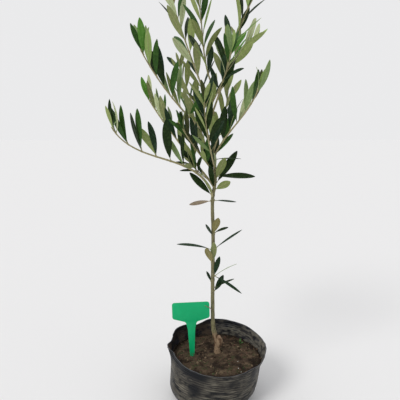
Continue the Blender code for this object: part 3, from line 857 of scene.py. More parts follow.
@dataclass
class Finishes:
    """Every material of the plant and its pot."""

    effects: Effects
    tops: list[bpy.types.Material] = field(init=False)
    backs: list[bpy.types.Material] = field(init=False)
    stalk: bpy.types.Material = field(init=False)
    trunk: bpy.types.Material = field(init=False)
    limb: bpy.types.Material = field(init=False)
    cut: bpy.types.Material = field(init=False)
    film: list[bpy.types.Material] = field(init=False)
    soil: bpy.types.Material = field(init=False)
    crumbs: list[bpy.types.Material] = field(init=False)
    label: bpy.types.Material = field(init=False)
    moss: bpy.types.Material = field(init=False)

    def __post_init__(self) -> None:
        """Builds the materials."""
        self.tops = self.leaf_sides("leaf_top", LEAF_TOPS, roughness=0.34, gloss=0.13, relief=0.12)
        self.backs = self.leaf_sides("leaf_back", LEAF_BACKS, roughness=0.75, gloss=0.12, relief=0.15)
        self.stalk = self.make(Finish("leaf_stalk", (0.30, 0.29, 0.13), (0.36, 0.34, 0.18), roughness=0.55))
        wood = {"fleck_scale": 420.0, "grain_scale": 1100.0, "gloss": 0.2, "relief": 0.5}
        self.trunk = self.make(
            BarkFinish("trunk_bark", (0.185, 0.170, 0.090), (0.105, 0.095, 0.050), roughness=0.8,
                       stretch=(1.0, 1.0, 0.35), **wood)
        )
        self.limb = self.make(
            BarkFinish("young_bark", (0.35, 0.315, 0.170), (0.25, 0.220, 0.115), roughness=0.72,
                       dot=(0.42, 0.39, 0.27), **wood)
        )
        self.cut = self.make(Finish("cut_wood", (0.26, 0.17, 0.11), (0.18, 0.115, 0.07), roughness=0.85))
        film = {"fleck_scale": 70.0, "stretch": (1.0, 1.0, 3.0), "grain_scale": 260.0, "relief": 0.35}
        self.film = [
            self.make(FilmFinish("black_film", (0.006, 0.006, 0.008), (0.020, 0.020, 0.022),
                                 roughness=0.42, gloss=0.14, **film)),
            self.make(LinerFinish("film_inside", (0.006, 0.007, 0.014), (0.020, 0.022, 0.034),
                                  roughness=0.40, gloss=0.2, **film)),
            # The lip's lighter grey is a painted highlight along the film's edge; its gloss is real.
            self.make(Finish("film_edge_painted_highlight", (0.040, 0.042, 0.050), (0.085, 0.085, 0.088),
                             roughness=0.35, **film)),
        ]
        earth = {"roughness": 0.95, "gloss": 0.1, "fleck_scale": 260.0, "grain_scale": 700.0,
                 "relief": 0.9, "depth": 0.0008}
        self.soil = self.make(SoilFinish("soil_bed", (0.062, 0.042, 0.028), (0.095, 0.066, 0.044), **earth))
        self.crumbs = [
            self.make(Finish(f"crumb_{crumb.name.lower()}", *CRUMB_TONES[crumb], **earth)) for crumb in Crumb
        ]
        self.label = self.make(
            LabelFinish("label_green", (0.002, 0.385, 0.142), (0.004, 0.415, 0.156), roughness=0.42,
                        gloss=0.25, fleck_scale=60.0, grain_scale=500.0, relief=0.06)
        )
        self.moss = self.make(Finish("moss", (0.035, 0.085, 0.020), (0.060, 0.130, 0.030), roughness=0.9))

    def make(self, finish: Finish) -> bpy.types.Material:
        """Builds one finish with the shared effects."""
        return finish.build(self.effects)

    def leaf_sides(self, name: str, tones: Mapping[Shade, Tones], **looks: float) -> list[bpy.types.Material]:
        """Builds the finishes of one side of the leaves.

        Args:
            name: What their names begin with.
            tones: The two tones of each shade.
            looks: The roughness, gloss and relief that they share.

        Returns:
            One material for each shade.
        """
        return [self.make(Finish(f"{name}_{shade.name.lower()}", *tones[shade], **looks)) for shade in Shade]

    def leaf_set(self) -> list[bpy.types.Material]:
        """The materials of a piece with leaves: all tops, then all backs, then the stalk."""
        return [*self.tops, *self.backs, self.stalk]


BACK_SLOT = len(Shade)
STALK_SLOT = 2 * len(Shade)


@dataclass(frozen=True)
class Leaf:
    """One leaf: a short stalk and a thin blade with its midrib, curved and a little folded."""

    root: Vector
    along: Vector
    face: Vector
    length: float
    width: float
    shade: Shade
    arch: float = 0.4
    sweep: float = 0.0
    twist: float = 0.0
    fold: float = 0.12

    stations: tuple[float, ...] = (
        0, 0.04, 0.09, 0.13, 0.19, 0.27, 0.37, 0.47, 0.57, 0.67, 0.77, 0.86, 0.93, 0.97, 0.99, 1
    )
    top_columns: tuple[float, ...] = (-1, -0.66, -0.3, -0.055, 0, 0.055, 0.3, 0.66)
    back_columns: tuple[float, ...] = (1, 0.6, 0.2, 0.06, 0, -0.06, -0.2, -0.6)
    rib_faces: tuple[int, int] = (11, 12)
    stalk_end: float = 0.09
    stalk_half: float = 0.6 * MM
    stalk_taper: float = 0.3
    stalk_swelling: float = 1.2
    first_blade_ring: int = 3
    blade_start: float = 0.7
    blade_opening: float = 0.08
    foot_taper: float = 1.0
    tip_taper: float = 0.75
    thickness: float = 0.4 * MM
    edge_thinning: int = 4
    edge_curl: float = 0.22
    edge_sharpness: int = 6
    rib: float = 0.22 * MM
    rib_width: float = 0.07
    rib_taper: float = 0.7
    groove_share: float = 0.5
    groove_width: float = 0.05
    arch_middle: float = 0.5
    sweep_middle: float = 0.3

    def half_width(self, part: float) -> float:
        """Half the leaf's width: a thin stalk, then a blade that tapers to its foot and has a blunt tip.

        Args:
            part: The share of the leaf's length.

        Returns:
            Half the width there.
        """
        start, foot, tip = self.stalk_end * self.blade_start, self.foot_taper, self.tip_taper
        blade = max((part - start) / (1 - start), 0)
        widest = foot / (foot + tip)
        outline = (blade / widest) ** foot * ((1 - blade) / (1 - widest)) ** tip
        return max(self.width / 2 * outline, self.stalk_half * (1 - part) ** self.stalk_taper)

    def cup(self, u: float) -> float:
        """How far the blade rises at a share of its half width: folded up, with its edges curled down."""
        return self.fold * abs(u) - self.edge_curl * abs(u) ** self.edge_sharpness

    def section(self, part: float, middle: Vector, across: Vector, up: Vector) -> Ring:
        """One cross section, from the left edge over the top and back under the blade.

        Args:
            part: The share of the length.
            middle: Its middle.
            across: The way to the right edge.
            up: The way the top looks.

        Returns:
            The section's points.
        """
        half = self.half_width(part)
        blade = min(max((part - self.stalk_end) / self.blade_opening, 0), 1)
        swollen = self.thickness * (1 + self.stalk_swelling * (1 - blade))
        ring = []
        for u in self.top_columns:
            groove = self.rib * self.groove_share * math.exp(-((u / self.groove_width) ** 2)) * blade
            rise = half * blade * self.cup(u) - groove
            ring.append(middle + across * u * half + up * rise)
        for u in self.back_columns:
            rib = self.rib * math.exp(-((u / self.rib_width) ** 2)) * (1 - part * self.rib_taper)
            thick = swollen * (1 - abs(u) ** self.edge_thinning)
            rise = half * blade * self.cup(u) - thick - rib
            ring.append(middle + across * u * half + up * rise)
        return ring

    def rings(self) -> list[Ring]:
        """All cross sections from the stalk's foot to the tip.

        Returns:
            The sections, the last of them a point.
        """
        rings, middle, before = [], self.root.copy(), 0.0
        across = self.face.cross(self.along).normalized()
        for part in self.stations:
            bend = Matrix.Rotation(self.arch * (part - self.arch_middle), 3, across)
            turn = Matrix.Rotation(self.sweep * (part - self.sweep_middle), 3, self.face)
            way = turn @ bend @ self.along
            middle = middle + way * (part - before) * self.length
            before = part
            side = Matrix.Rotation(self.twist * part, 3, way) @ turn @ across
            up = way.cross(side).normalized()
            rings.append([middle] if part == 1 else self.section(part, middle, side, up))
        return rings

    def slot(self, band: int, side: int) -> int:
        """The finish of a face: the stalk's, the top's or the back's.

        Args:
            band: The face's band along the leaf.
            side: Its place round the section.

        Returns:
            The number of its material.
        """
        if self.stations[band + 1] <= self.stalk_end or side in self.rib_faces:
            return STALK_SLOT
        return self.shade if side < len(self.top_columns) else BACK_SLOT + self.shade

    def draft(self) -> Draft:
        """The whole leaf.

        Returns:
            The leaf as a draft.
        """
        made = Draft()
        made.loft(self.rings(), self.slot)
        return made

    def blade_tree(self) -> BVHTree:
        """The surface of the blade without its stalk.

        Returns:
            The surface, for finding what touches it.
        """
        made = Draft()
        made.loft(self.rings()[self.first_blade_ring:])
        return made.tree()


@dataclass(frozen=True)
class Trunk:
    """The trunk, with a knob at its foot, in mm. Rows are height, x, y and radius, the knob's x, y,
    height and radius. Ridges and lumps have a share of the radius, and a second that old bark adds."""

    rows: tuple[tuple[float, float, float, float], ...] = (
        (0, 2.1, 2.4, 5.4),
        (7, 1.4, 2.4, 4.6),
        (20, 0.2, 2.0, 3.7),
        (34, -3.3, 1.4, 4.0),
        (50, -5.7, 0.8, 3.4),
        (110, -6.6, 0.0, 3.0),
        (200, -6.2, -0.8, 2.8),
        (254, -7.4, -0.6, 2.7),
        (288, -3.0, 0.4, 2.4),
        (325, -5.8, 0.6, 2.2),
        (370, -11.0, 0.0, 2.0),
        (407, -8.3, -0.8, 1.8),
        (432, -7.4, 0.0, 1.6),
    )
    knob: tuple[tuple[float, float, float, float], ...] = (
        (1.8, 2.0, 8, 2.8),
        (2.7, 1.7, 11, 4.2),
        (3.9, 1.3, 15, 5.2),
        (4.9, 1.0, 19, 5.6),
        (5.1, 0.8, 22.5, 5.2),
        (4.4, 0.5, 26, 4.1),
        (3.6, 0.3, 28.5, 3.1),
        (3.2, 0.2, 29.3, 2.4),
    )
    step: float = 1.6
    sides: int = 24
    sunk: float = 5.0
    tip: float = 1.2
    old_height: float = 40.0
    ridges: Ripple = Ripple(420.0, (1.0, 1.0, 0.3))
    ridge_share: tuple[float, float] = (0.035, 0.07)
    lumps: Ripple = Ripple(130.0)
    lump_share: tuple[float, float] = (0.04, 0.1)
    joints: tuple[float, ...] = (125, 154, 176, 201, 253, 262, 272, 290, 316, 346, 378, 412)
    joint_share: float = 0.17
    joint_reach: float = 1.8
    knob_sides: int = 20
    knob_lumps: Ripple = Ripple(290.0)
    knob_lump_share: float = 0.24

    def at(self, height: float) -> tuple[Vector, float]:
        """Its middle and radius.

        Args:
            height: The height above the soil, in mm.

        Returns:
            The middle and the radius there, in metres.
        """
        heights = [row[0] for row in self.rows]
        index = max(i for i, low in enumerate(heights[:-1]) if low <= height or i == 0)
        here, there = self.rows[index], self.rows[index + 1]
        before, after = self.rows[max(index - 1, 0)], self.rows[min(index + 2, len(self.rows) - 1)]
        run = there[0] - here[0]
        share = (height - here[0]) / run
        values = []
        for column in (1, 2, 3):
            pull_in = (there[column] - before[column]) / (there[0] - before[0]) * run
            pull_out = (after[column] - here[column]) / (after[0] - here[0]) * run
            values.append(blend(here[column], there[column], pull_in, pull_out, share))
        return mm((values[0], values[1], height)) + UP * SOIL_LEVEL, values[2] * MM

    def draft(self) -> Draft:
        """The trunk's bark with its relief, sunk a little into the soil.

        Returns:
            The trunk as a draft.
        """
        top = self.rows[-1][0]
        count = round(top / self.step)
        heights = [-self.sunk, *(top * number / count for number in range(count + 1))]
        middles = [self.at(max(height, 0)) for height in heights]
        points = [middle + mm((0, 0, min(height, 0))) for (middle, _), height in zip(middles, heights)]

        def radius(number: int, out: Vector) -> float:
            """The radius with its ridges, lumps and knots, roughest at the foot.

            Args:
                number: The ring.
                out: The way out from the middle line.

            Returns:
                The radius.
            """
            height, plain = heights[number], middles[number][1]
            spot = points[number] + out * plain
            old = math.exp(-max(height, 0) / self.old_height)
            ridges = self.ridges.at(spot) * (self.ridge_share[0] + self.ridge_share[1] * old)
            lumps = self.lumps.at(spot) * (self.lump_share[0] + self.lump_share[1] * old)
            away = [(height - joint) / self.joint_reach for joint in self.joints]
            knots = sum(self.joint_share * math.exp(-reach**2) for reach in away)
            return plain * (1 + ridges + lumps + knots)

        made = Draft()
        tip = points[-1] + mm((0, 0, self.tip))
        made.loft([*tube_rings(points, radius, self.sides), [tip]])
        return made

    def stub(self) -> Draft:
        """The knob beside the foot where the old stem was cut off.

        Returns:
            The knob as a draft, its cut end in the second finish.
        """
        points = [mm(row[:3]) + UP * SOIL_LEVEL for row in self.knob]

        def radius(number: int, out: Vector) -> float:
            """The lumpy radius, roughest where the knob is thickest."""
            plain = self.knob[number][3] * MM
            return plain * (1 + self.knob_lump_share * self.knob_lumps.at(points[number] + out * plain))

        def slot(band: int, _: int) -> int:
            """The finish of a band: bark, but for the cut end."""
            return int(band == len(points) - 2)

        made = Draft()
        made.loft(tube_rings(points, radius, self.knob_sides), slot)
        return made


@dataclass(frozen=True)
class Shoot:
    """A limb of the crown with its leaves; lengths are in mm and angles in degrees."""

    name: str
    parent: str
    at: float
    reach: tuple[float, float, float]
    leave: tuple[float, float, float]
    arrive: tuple[float, float, float]
    thick: float
    thin: float
    bough: float
    bare: float
    pairs: int
    leaf: float
    phase: float
    lift: float
    shaded: bool = False
    turned: float = 0.0


# First row: name, parent, place on it, reach, pull at the foot, pull at the tip. Second row: radius at
# foot and tip, shares where the bough ends and the leaves begin, pairs, leaf length, phase and lift
SHOOTS = (
    Shoot("low_left", "trunk", 261, (-141, -65, 103), (-65, -29, 212), (-87, -96, 170),
          2.0, 0.8, 0.21, 0.24, 7, 62, -75, 2.3, turned=0.35),
    Shoot("mid_left", "trunk", 275, (-108, 58, 140), (-118, 32, 150), (-90, 70, 145),
          1.9, 0.8, 0.24, 0.28, 7, 56, 15, 1.9, turned=0.4),
    Shoot("upper_left", "trunk", 349, (-100, -45, 122), (-122, -20, 106), (-67, -67, 134),
          1.6, 0.8, 0.16, 0.19, 8, 64, 50, 1.7),
    Shoot("tall_left", "trunk", 389, (-65, 45, 189), (-69, 22, 190), (-52, 57, 192),
          1.5, 0.7, 0.15, 0.18, 9, 60, 40, 0.6),
    Shoot("tall_middle", "trunk", 427, (-24, -32, 124), (-59, -13, 117), (-34, -44, 117),
          1.3, 0.7, 0.12, 0.16, 7, 58, 50, 0.5),
    Shoot("tall_right", "trunk", 382, (62, -45, 166), (70, -19, 166), (100, -69, 151),
          1.6, 0.7, 0.28, 0.31, 8, 56, 60, 0.5),
    Shoot("mid_right", "tall_right", 0.2, (55, 58, 88), (51, 36, 109), (90, 66, 63),
          1.2, 0.7, 0.24, 0.28, 6, 56, 65, 0.55),
    Shoot("low_right", "trunk", 321, (57, -65, 94), (47, -31, 115), (22, -89, 94),
          1.5, 0.8, 0.2, 0.23, 6, 60, 45, 1.5, turned=0.3),
    Shoot("front", "trunk", 300, (-18, -88, 96), (-12, -95, 50), (-4, -50, 120),
          1.3, 0.7, 0.0, 0.4, 5, 56, 40, 0.7, True),
    Shoot("back", "trunk", 330, (28, 92, 104), (22, 95, 55), (10, 50, 125),
          1.3, 0.7, 0.0, 0.3, 6, 54, 45, 0.6, True),
    Shoot("back_left", "trunk", 364, (-50, 74, 100), (-45, 72, 60), (-22, 45, 120),
          1.2, 0.7, 0.0, 0.3, 6, 52, 60, 0.7, True),
    Shoot("front_right", "trunk", 402, (24, -56, 64), (20, -55, 40), (8, -30, 80),
          1.1, 0.7, 0.0, 0.35, 5, 52, 40, 0.5),
    Shoot("inner_left", "trunk", 296, (-48, -38, 66), (-50, -30, 60), (-40, -30, 70),
          1.2, 0.7, 0.0, 0.25, 6, 52, 35, 0.8, True),
    Shoot("inner_back", "trunk", 310, (-30, 52, 96), (-40, 50, 70), (-10, 40, 100),
          1.2, 0.7, 0.0, 0.3, 6, 52, 35, 0.6, True),
    Shoot("fork_left", "mid_left", 0.07, (-30, -17, 28), (-34, -14, 24), (-26, -18, 30),
          0.9, 0.6, 0.0, 0.3, 4, 34, 80, 0.0, True),
)

# Leaves on the trunk: height in mm, side and rise in degrees, length and width in mm, roll in degrees
STEM_LEAVES = (
    (122, 195, 68, 20, 5, -75, Shade.TEAL),
    (131, 8, 28, 42, 3, 0, Shade.PALE),
    (132, -14, -28, 52, 7, 25, Shade.TEAL),
    (105, 25, 54, 31, 13, 95, Shade.TEAL),
    (132, -20, 76, 34, 9, 120, Shade.TEAL),
    (153, -125, 60, 34, 13, 0, Shade.OLIVE),
    (155, -85, 68, 40, 10, 0, Shade.TEAL),
    (175, 176, 9, 57, 9, -8, Shade.TEAL),
    (176, 8, 34, 54, 7, 6, Shade.TEAL),
    (199, -140, 56, 23, 10, 175, Shade.TEAL),
    (201, -62, 66, 31, 13, 0, Shade.OLIVE),
    (202, 18, 20, 25, 7, 15, Shade.DEEP),
    (253, 182, -8, 35, 8, 65, Shade.DRY),
    (254, 6, -4, 36, 9, 8, Shade.TEAL),
    (262, 186, 46, 50, 11, -75, Shade.DEEP),
    (263, -128, 52, 34, 8, 0, Shade.TEAL),
    (112, 12, 21, 36, 5, 10, Shade.DEEP),
    (271, -30, 28, 30, 12, -60, Shade.DEEP),
    (274, -112, 62, 42, 9, 180, Shade.DEEP),
    (281, 10, 56, 60, 12, 75, Shade.DEEP),
    (287, -58, 56, 42, 15, 0, Shade.DEEP),
    (289, 150, 68, 52, 10, -40, Shade.DEEP),
    (291, -12, 3, 60, 11, 50, Shade.DEEP),
    (300, -100, 72, 30, 7, 30, Shade.PALE),
    (303, -125, 66, 44, 11, 175, Shade.TEAL),
    (314, 205, 56, 46, 12, -60, Shade.TEAL),
    (318, -10, 2, 40, 8, 15, Shade.DEEP),
    (320, 80, 50, 46, 11, 20, Shade.DEEP),
    (324, -18, 50, 44, 11, 45, Shade.MATURE),
    (346, -96, 62, 46, 10, 0, Shade.MATURE),
    (390, -78, 70, 58, 11, 5, Shade.MATURE),
    (412, 10, 52, 40, 9, 50, Shade.DEEP),
)


@dataclass
class Crown:
    """The limbs and leaves, grown from the trunk by one seeded rule. A bud's heights and radii are in
    mm. Weights follow the order of Shade, and tip_changes is added to them towards a shoot's tip."""

    trunk: Trunk
    finishes: Finishes
    shoots: dict[str, Shoot] = field(init=False)
    surfaces: list[tuple[str, BVHTree]] = field(default_factory=list)

    growth_step: float = 0.01
    ring_step: float = 1.8 * MM
    limb_sides: int = 12
    limb_tip: float = 3 * MM
    collar_share: float = 0.55
    collar_reach: float = 3.2 * MM
    joint_share: float = 0.24
    joint_reach: float = 1.3 * MM
    bark_share: float = 0.05
    bark: tuple[Ripple, ...] = (Ripple(500.0, (1.0, 1.0, 0.4)), Ripple(160.0))
    leaf_at_foot: float = 0.84
    leaf_loss_at_tip: float = 0.1
    last_pair: float = 0.95
    tip_pair: float = 0.985
    tip_leaf: float = 0.55
    pair_axis: tuple[float, float, float] = (0, 1, 0.2)
    pair_spread: float = math.radians(52)
    last_pair_spread: float = math.radians(30)
    tip_spread: float = math.radians(16)
    slenderness: float = 0.187
    lengths: Range = (0.86, 1.12)
    widths: Range = (0.85, 1.2)
    roll: float = 0.5
    light_turn: float = 0.5
    looseness: float = 0.1
    looser: float = 0.05
    tries: int = 14
    arches: Range = (0.1, 0.75)
    sweeps: Range = (-0.3, 0.3)
    twists: Range = (-0.5, 0.5)
    folds: Range = (0.03, 0.2)
    shaded_weights: tuple[float, ...] = (3, 2.6, 1.4, 0.1, 0.3, 0.4, 0.05)
    foot_weights: tuple[float, ...] = (3, 2.2, 2.4, 0.3, 0.9, 0.15, 0.03)
    tip_changes: tuple[float, ...] = (-2, -1.9, 0, 1.9, 1.7, 0, 0)
    young_from: float = 0.45
    bud_lean: float = 0.5
    bud_off: float = 0.7 * MM
    bud_sides: int = 6
    bud_heights: tuple[float, ...] = (0, 0.6, 1.3, 2.0)
    bud_radii: tuple[float, ...] = (0.35, 0.6, 0.45, 0.12)
    stem_root: float = 0.8
    stem_arches: Range = (0.15, 0.5)
    stem_sweeps: Range = (-0.15, 0.15)
    stem_twists: Range = (-0.2, 0.2)
    stem_fold: float = 0.1

    def __post_init__(self) -> None:
        """Lists the shoots by name."""
        self.shoots = {shoot.name: shoot for shoot in SHOOTS}

    def start(self, shoot: Shoot) -> Vector:
        """The point on its parent's middle line from which a shoot grows.

        Args:
            shoot: The shoot.

        Returns:
            The point.
        """
        if shoot.parent == "trunk":
            return self.trunk.at(shoot.at)[0]
        return self.point(self.shoots[shoot.parent], shoot.at)

    def point(self, shoot: Shoot, share: float) -> Vector:
        """The point at a share of a shoot's curve."""
        start = self.start(shoot)
        return blend(start, start + mm(shoot.reach), mm(shoot.leave), mm(shoot.arrive), share)

    def growth(self, shoot: Shoot, share: float) -> Vector:
        """The direction in which a shoot grows at a share of its curve."""
        ahead = self.point(shoot, min(share + self.growth_step, 1))
        return (ahead - self.point(shoot, max(share - self.growth_step, 0))).normalized()

    def leaf_places(self, shoot: Shoot) -> Iterator[tuple[float, Vector, Vector, float]]:
        """Where a shoot's leaves grow, in crossed pairs from its foot to its tip.

        Args:
            shoot: The shoot.

        Yields:
            The share of the shoot, its growth there, the leaf's direction and its size.
        """
        for pair in range(shoot.pairs + 1):
            at_tip = pair == shoot.pairs
            part = min(pair / (shoot.pairs - 1), 1)
            share = self.tip_pair if at_tip else shoot.bare + (self.last_pair - shoot.bare) * part
            growth = self.growth(shoot, share)
            side = growth.cross(Vector(self.pair_axis)).normalized()
            spread = self.pair_spread + (self.last_pair_spread - self.pair_spread) * part
            spread = self.tip_spread if at_tip else spread
            size = self.leaf_at_foot + (1 - self.leaf_at_foot) * math.sin(math.pi * part)
            size = self.tip_leaf if at_tip else size - self.leaf_loss_at_tip * part
            lift = UP * shoot.lift
            for half in (0, math.pi):
                turn = math.radians(shoot.phase) + RIGHT_ANGLE * pair + half
                out = Matrix.Rotation(turn, 3, growth) @ side
                along = growth * math.cos(spread) + out * math.sin(spread)
                yield share, growth, (along + lift).normalized(), size

    @staticmethod
    def upper_side(along: Vector, growth: Vector, roll: float, light_turn: float) -> Vector:
        """The way a leaf's top looks: to the growing tip, turned to the light, then rolled.

        Args:
            along: The leaf's direction.
            growth: The direction of the shoot it grows on.
            roll: A turn about its own length, in radians.
            light_turn: How far it turns to the light in front or behind.

        Returns:
            The direction.
        """
        face = (growth - along * growth.dot(along)).normalized()
        face = face.lerp(Vector((0, math.copysign(1, face.y), 0)), light_turn)
        face = (face - along * face.dot(along)).normalized()
        return Matrix.Rotation(roll, 3, along) @ face

    def pick_shade(self, rng: random.Random, shoot: Shoot, share: float) -> Shade:
        """The shade of a leaf: young ones near an outer shoot's tip are fresh, old ones dark, and those on
        shaded shoots darker still as painted shade.

        Args:
            rng: The leaf's own random draws.
            shoot: The shoot it grows on.
            share: The share of the shoot at which it grows.

        Returns:
            The shade.
        """
        # Shoots marked shaded take darker colours: painted shade.
        if shoot.shaded:
            return rng.choices(list(Shade), self.shaded_weights)[0]
        young = max((share - self.young_from) / (1 - self.young_from), 0)
        weights = [old + change * young for old, change in zip(self.foot_weights, self.tip_changes)]
        return rng.choices(list(Shade), weights)[0]

    def clear(self, tree: BVHTree) -> bool:
        """Whether a blade touches nothing that has grown so far."""
        return not any(tree.overlap(other) for _, other in self.surfaces)

    def grow_limb(self, shoot: Shoot, draft: Draft) -> None:
        """Adds a shoot's wood, from inside its parent to its tip.

        Args:
            shoot: The shoot.
            draft: What it is added to.
        """
        length = mm(shoot.reach).length
        count = round(length / self.ring_step)
        shares = [number / count for number in range(count + 1)]
        points = [self.point(shoot, share) for share in shares]
        joints = sorted({share for share, *_ in self.leaf_places(shoot)})

        def radius(number: int, out: Vector) -> float:
            """The radius with a collar at the foot and a knot at each pair of leaves.

            Args:
                number: The ring.
                out: The way out from the middle line.

            Returns:
                The radius.
            """
            share = shares[number]
            plain = (shoot.thick + (shoot.thin - shoot.thick) * share) * MM
            spot = points[number] + out * plain
            collar = self.collar_share * math.exp(-share * length / self.collar_reach)
            away = [(share - joint) * length / self.joint_reach for joint in joints]
            knots = sum(self.joint_share * math.exp(-reach**2) for reach in away)
            rough = sum(self.bark_share * ripple.at(spot) for ripple in self.bark)
            return plain * (1 + collar + knots + rough)

        limb = Draft()
        bud = points[-1] + self.growth(shoot, 1) * self.limb_tip
        limb.loft([*tube_rings(points, radius, self.limb_sides), [bud]])
        self.surfaces.append((shoot.name, limb.tree()))
        draft.add(limb)

    def grow_leaves(self, shoot: Shoot) -> Draft:
        """Grows a shoot's leaves, with a bud in the corner of each.

        Args:
            shoot: The shoot.

        Returns:
            The leaves.
        """
        made = Draft()
        for number, (share, growth, along, size) in enumerate(self.leaf_places(shoot)):
            rng = random.Random(f"{shoot.name} {number}")
            length = shoot.leaf * size * rng.uniform(*self.lengths) * MM
            width = length * self.slenderness * rng.uniform(*self.widths)
            for attempt in range(self.tries):
                loose = self.looseness + self.looser * attempt
                jitter = Vector((rng.uniform(-1, 1), rng.uniform(-1, 1), rng.uniform(-1, 1)))
                way = (along + jitter * loose).normalized()
                face = self.upper_side(way, growth, rng.gauss(0, self.roll), self.light_turn)
                leaf = self.shaped_leaf(shoot, share, way, face, length, width)
                tree = leaf.blade_tree()
                if self.clear(tree):
                    made.add(leaf.draft())
                    self.surfaces.append((shoot.name, tree))
                    self.add_bud(made, self.point(shoot, share), growth, way)
                    break
        return made

    def shaped_leaf(self, shoot: Shoot, share: float, way: Vector, face: Vector,
                    length: float, width: float) -> Leaf:
        """A leaf with a colour and curves of its own.

        Args:
            shoot: The shoot it grows on.
            share: The share of the shoot at which it grows.
            way: Its direction.
            face: The way its top looks.
            length: Its length.
            width: Its width.

        Returns:
            The leaf.
        """
        looks = random.Random(f"{shoot.name} {share:.4f} {way.x:.4f} {way.y:.4f}")
        shade = self.pick_shade(looks, shoot, share)
        arch, sweep = looks.uniform(*self.arches), looks.uniform(*self.sweeps)
        twist, fold = looks.uniform(*self.twists), looks.uniform(*self.folds)
        top = -face if looks.random() < shoot.turned else face
        return Leaf(self.point(shoot, share), way, top, length, width, shade, arch, sweep, twist, fold)

    def add_bud(self, draft: Draft, root: Vector, growth: Vector, way: Vector) -> None:
        """Adds the small bud between a leaf and its shoot.

        Args:
            draft: What it is added to.
            root: Where the leaf grows.
            growth: The direction of the shoot.
            way: The leaf's direction.
        """
        out = (way - growth * way.dot(growth)).normalized()
        along = (growth + out * self.bud_lean).normalized()
        foot = root + out * self.bud_off
        points = [foot + along * step * MM for step in self.bud_heights]

        def radius(number: int, _: Vector) -> float:
            """The radius of a ring."""
            return self.bud_radii[number] * MM

        draft.loft(tube_rings(points, radius, self.bud_sides), STALK_SLOT)

    def stem_leaves(self) -> Draft:
        """The leaves that grow from the trunk itself.

        Returns:
            The leaves.
        """
        made, rng = Draft(), random.Random("stem leaves")
        for height, side, rise, length, width, roll, shade in STEM_LEAVES:
            middle, radius = self.trunk.at(height)
            along = rising(math.radians(side), math.radians(rise))
            face = self.upper_side(along, UP, math.radians(roll), light_turn=0.0)
            root = middle + level(math.radians(side)) * radius * self.stem_root
            arch, sweep = rng.uniform(*self.stem_arches), rng.uniform(*self.stem_sweeps)
            twist = rng.uniform(*self.stem_twists)
            leaf = Leaf(root, along, face, length * MM, width * MM, shade, arch, sweep, twist, self.stem_fold)
            made.add(leaf.draft())
            self.surfaces.append(("stem", leaf.blade_tree()))
            self.add_bud(made, root, UP, along)
        return made

    def build(self) -> None:
        """Grows the wood, then the leaves on the trunk and on every shoot."""
        for name in ("trunk", "label", "dry_twig"):
            mesh = frame["nodes"][name].data
            tree = BVHTree.FromPolygons([v.co for v in mesh.vertices], [p.vertices for p in mesh.polygons])
            self.surfaces.append((name, tree))
        wood = Draft()
        for shoot in self.shoots.values():
            self.grow_limb(shoot, wood)
        boughs = [f"{shoot.name}_bough" for shoot in SHOOTS if shoot.bough]
        dress(wood.piece("boughs_and_twigs", [self.finishes.limb]), Slot.BARK, *boughs)
        trunk = self.trunk.draft()
        trunk.add(self.trunk.stub())
        dress(trunk.piece("trunk_wood", [self.finishes.trunk, self.finishes.cut]), Slot.BARK, "trunk")
        materials = self.finishes.leaf_set()
        numbers = range(1, len(STEM_LEAVES) + 1)
        stem = self.stem_leaves().piece("stem_leaves", materials)
        dress(stem, Slot.FOLIAGE, *(f"stem_leaf_{number:02d}" for number in numbers))
        for shoot in self.shoots.values():
            leaves = self.grow_leaves(shoot).piece(f"{shoot.name}_leaves", materials)
            dress(leaves, Slot.FOLIAGE, f"{shoot.name}_spray")


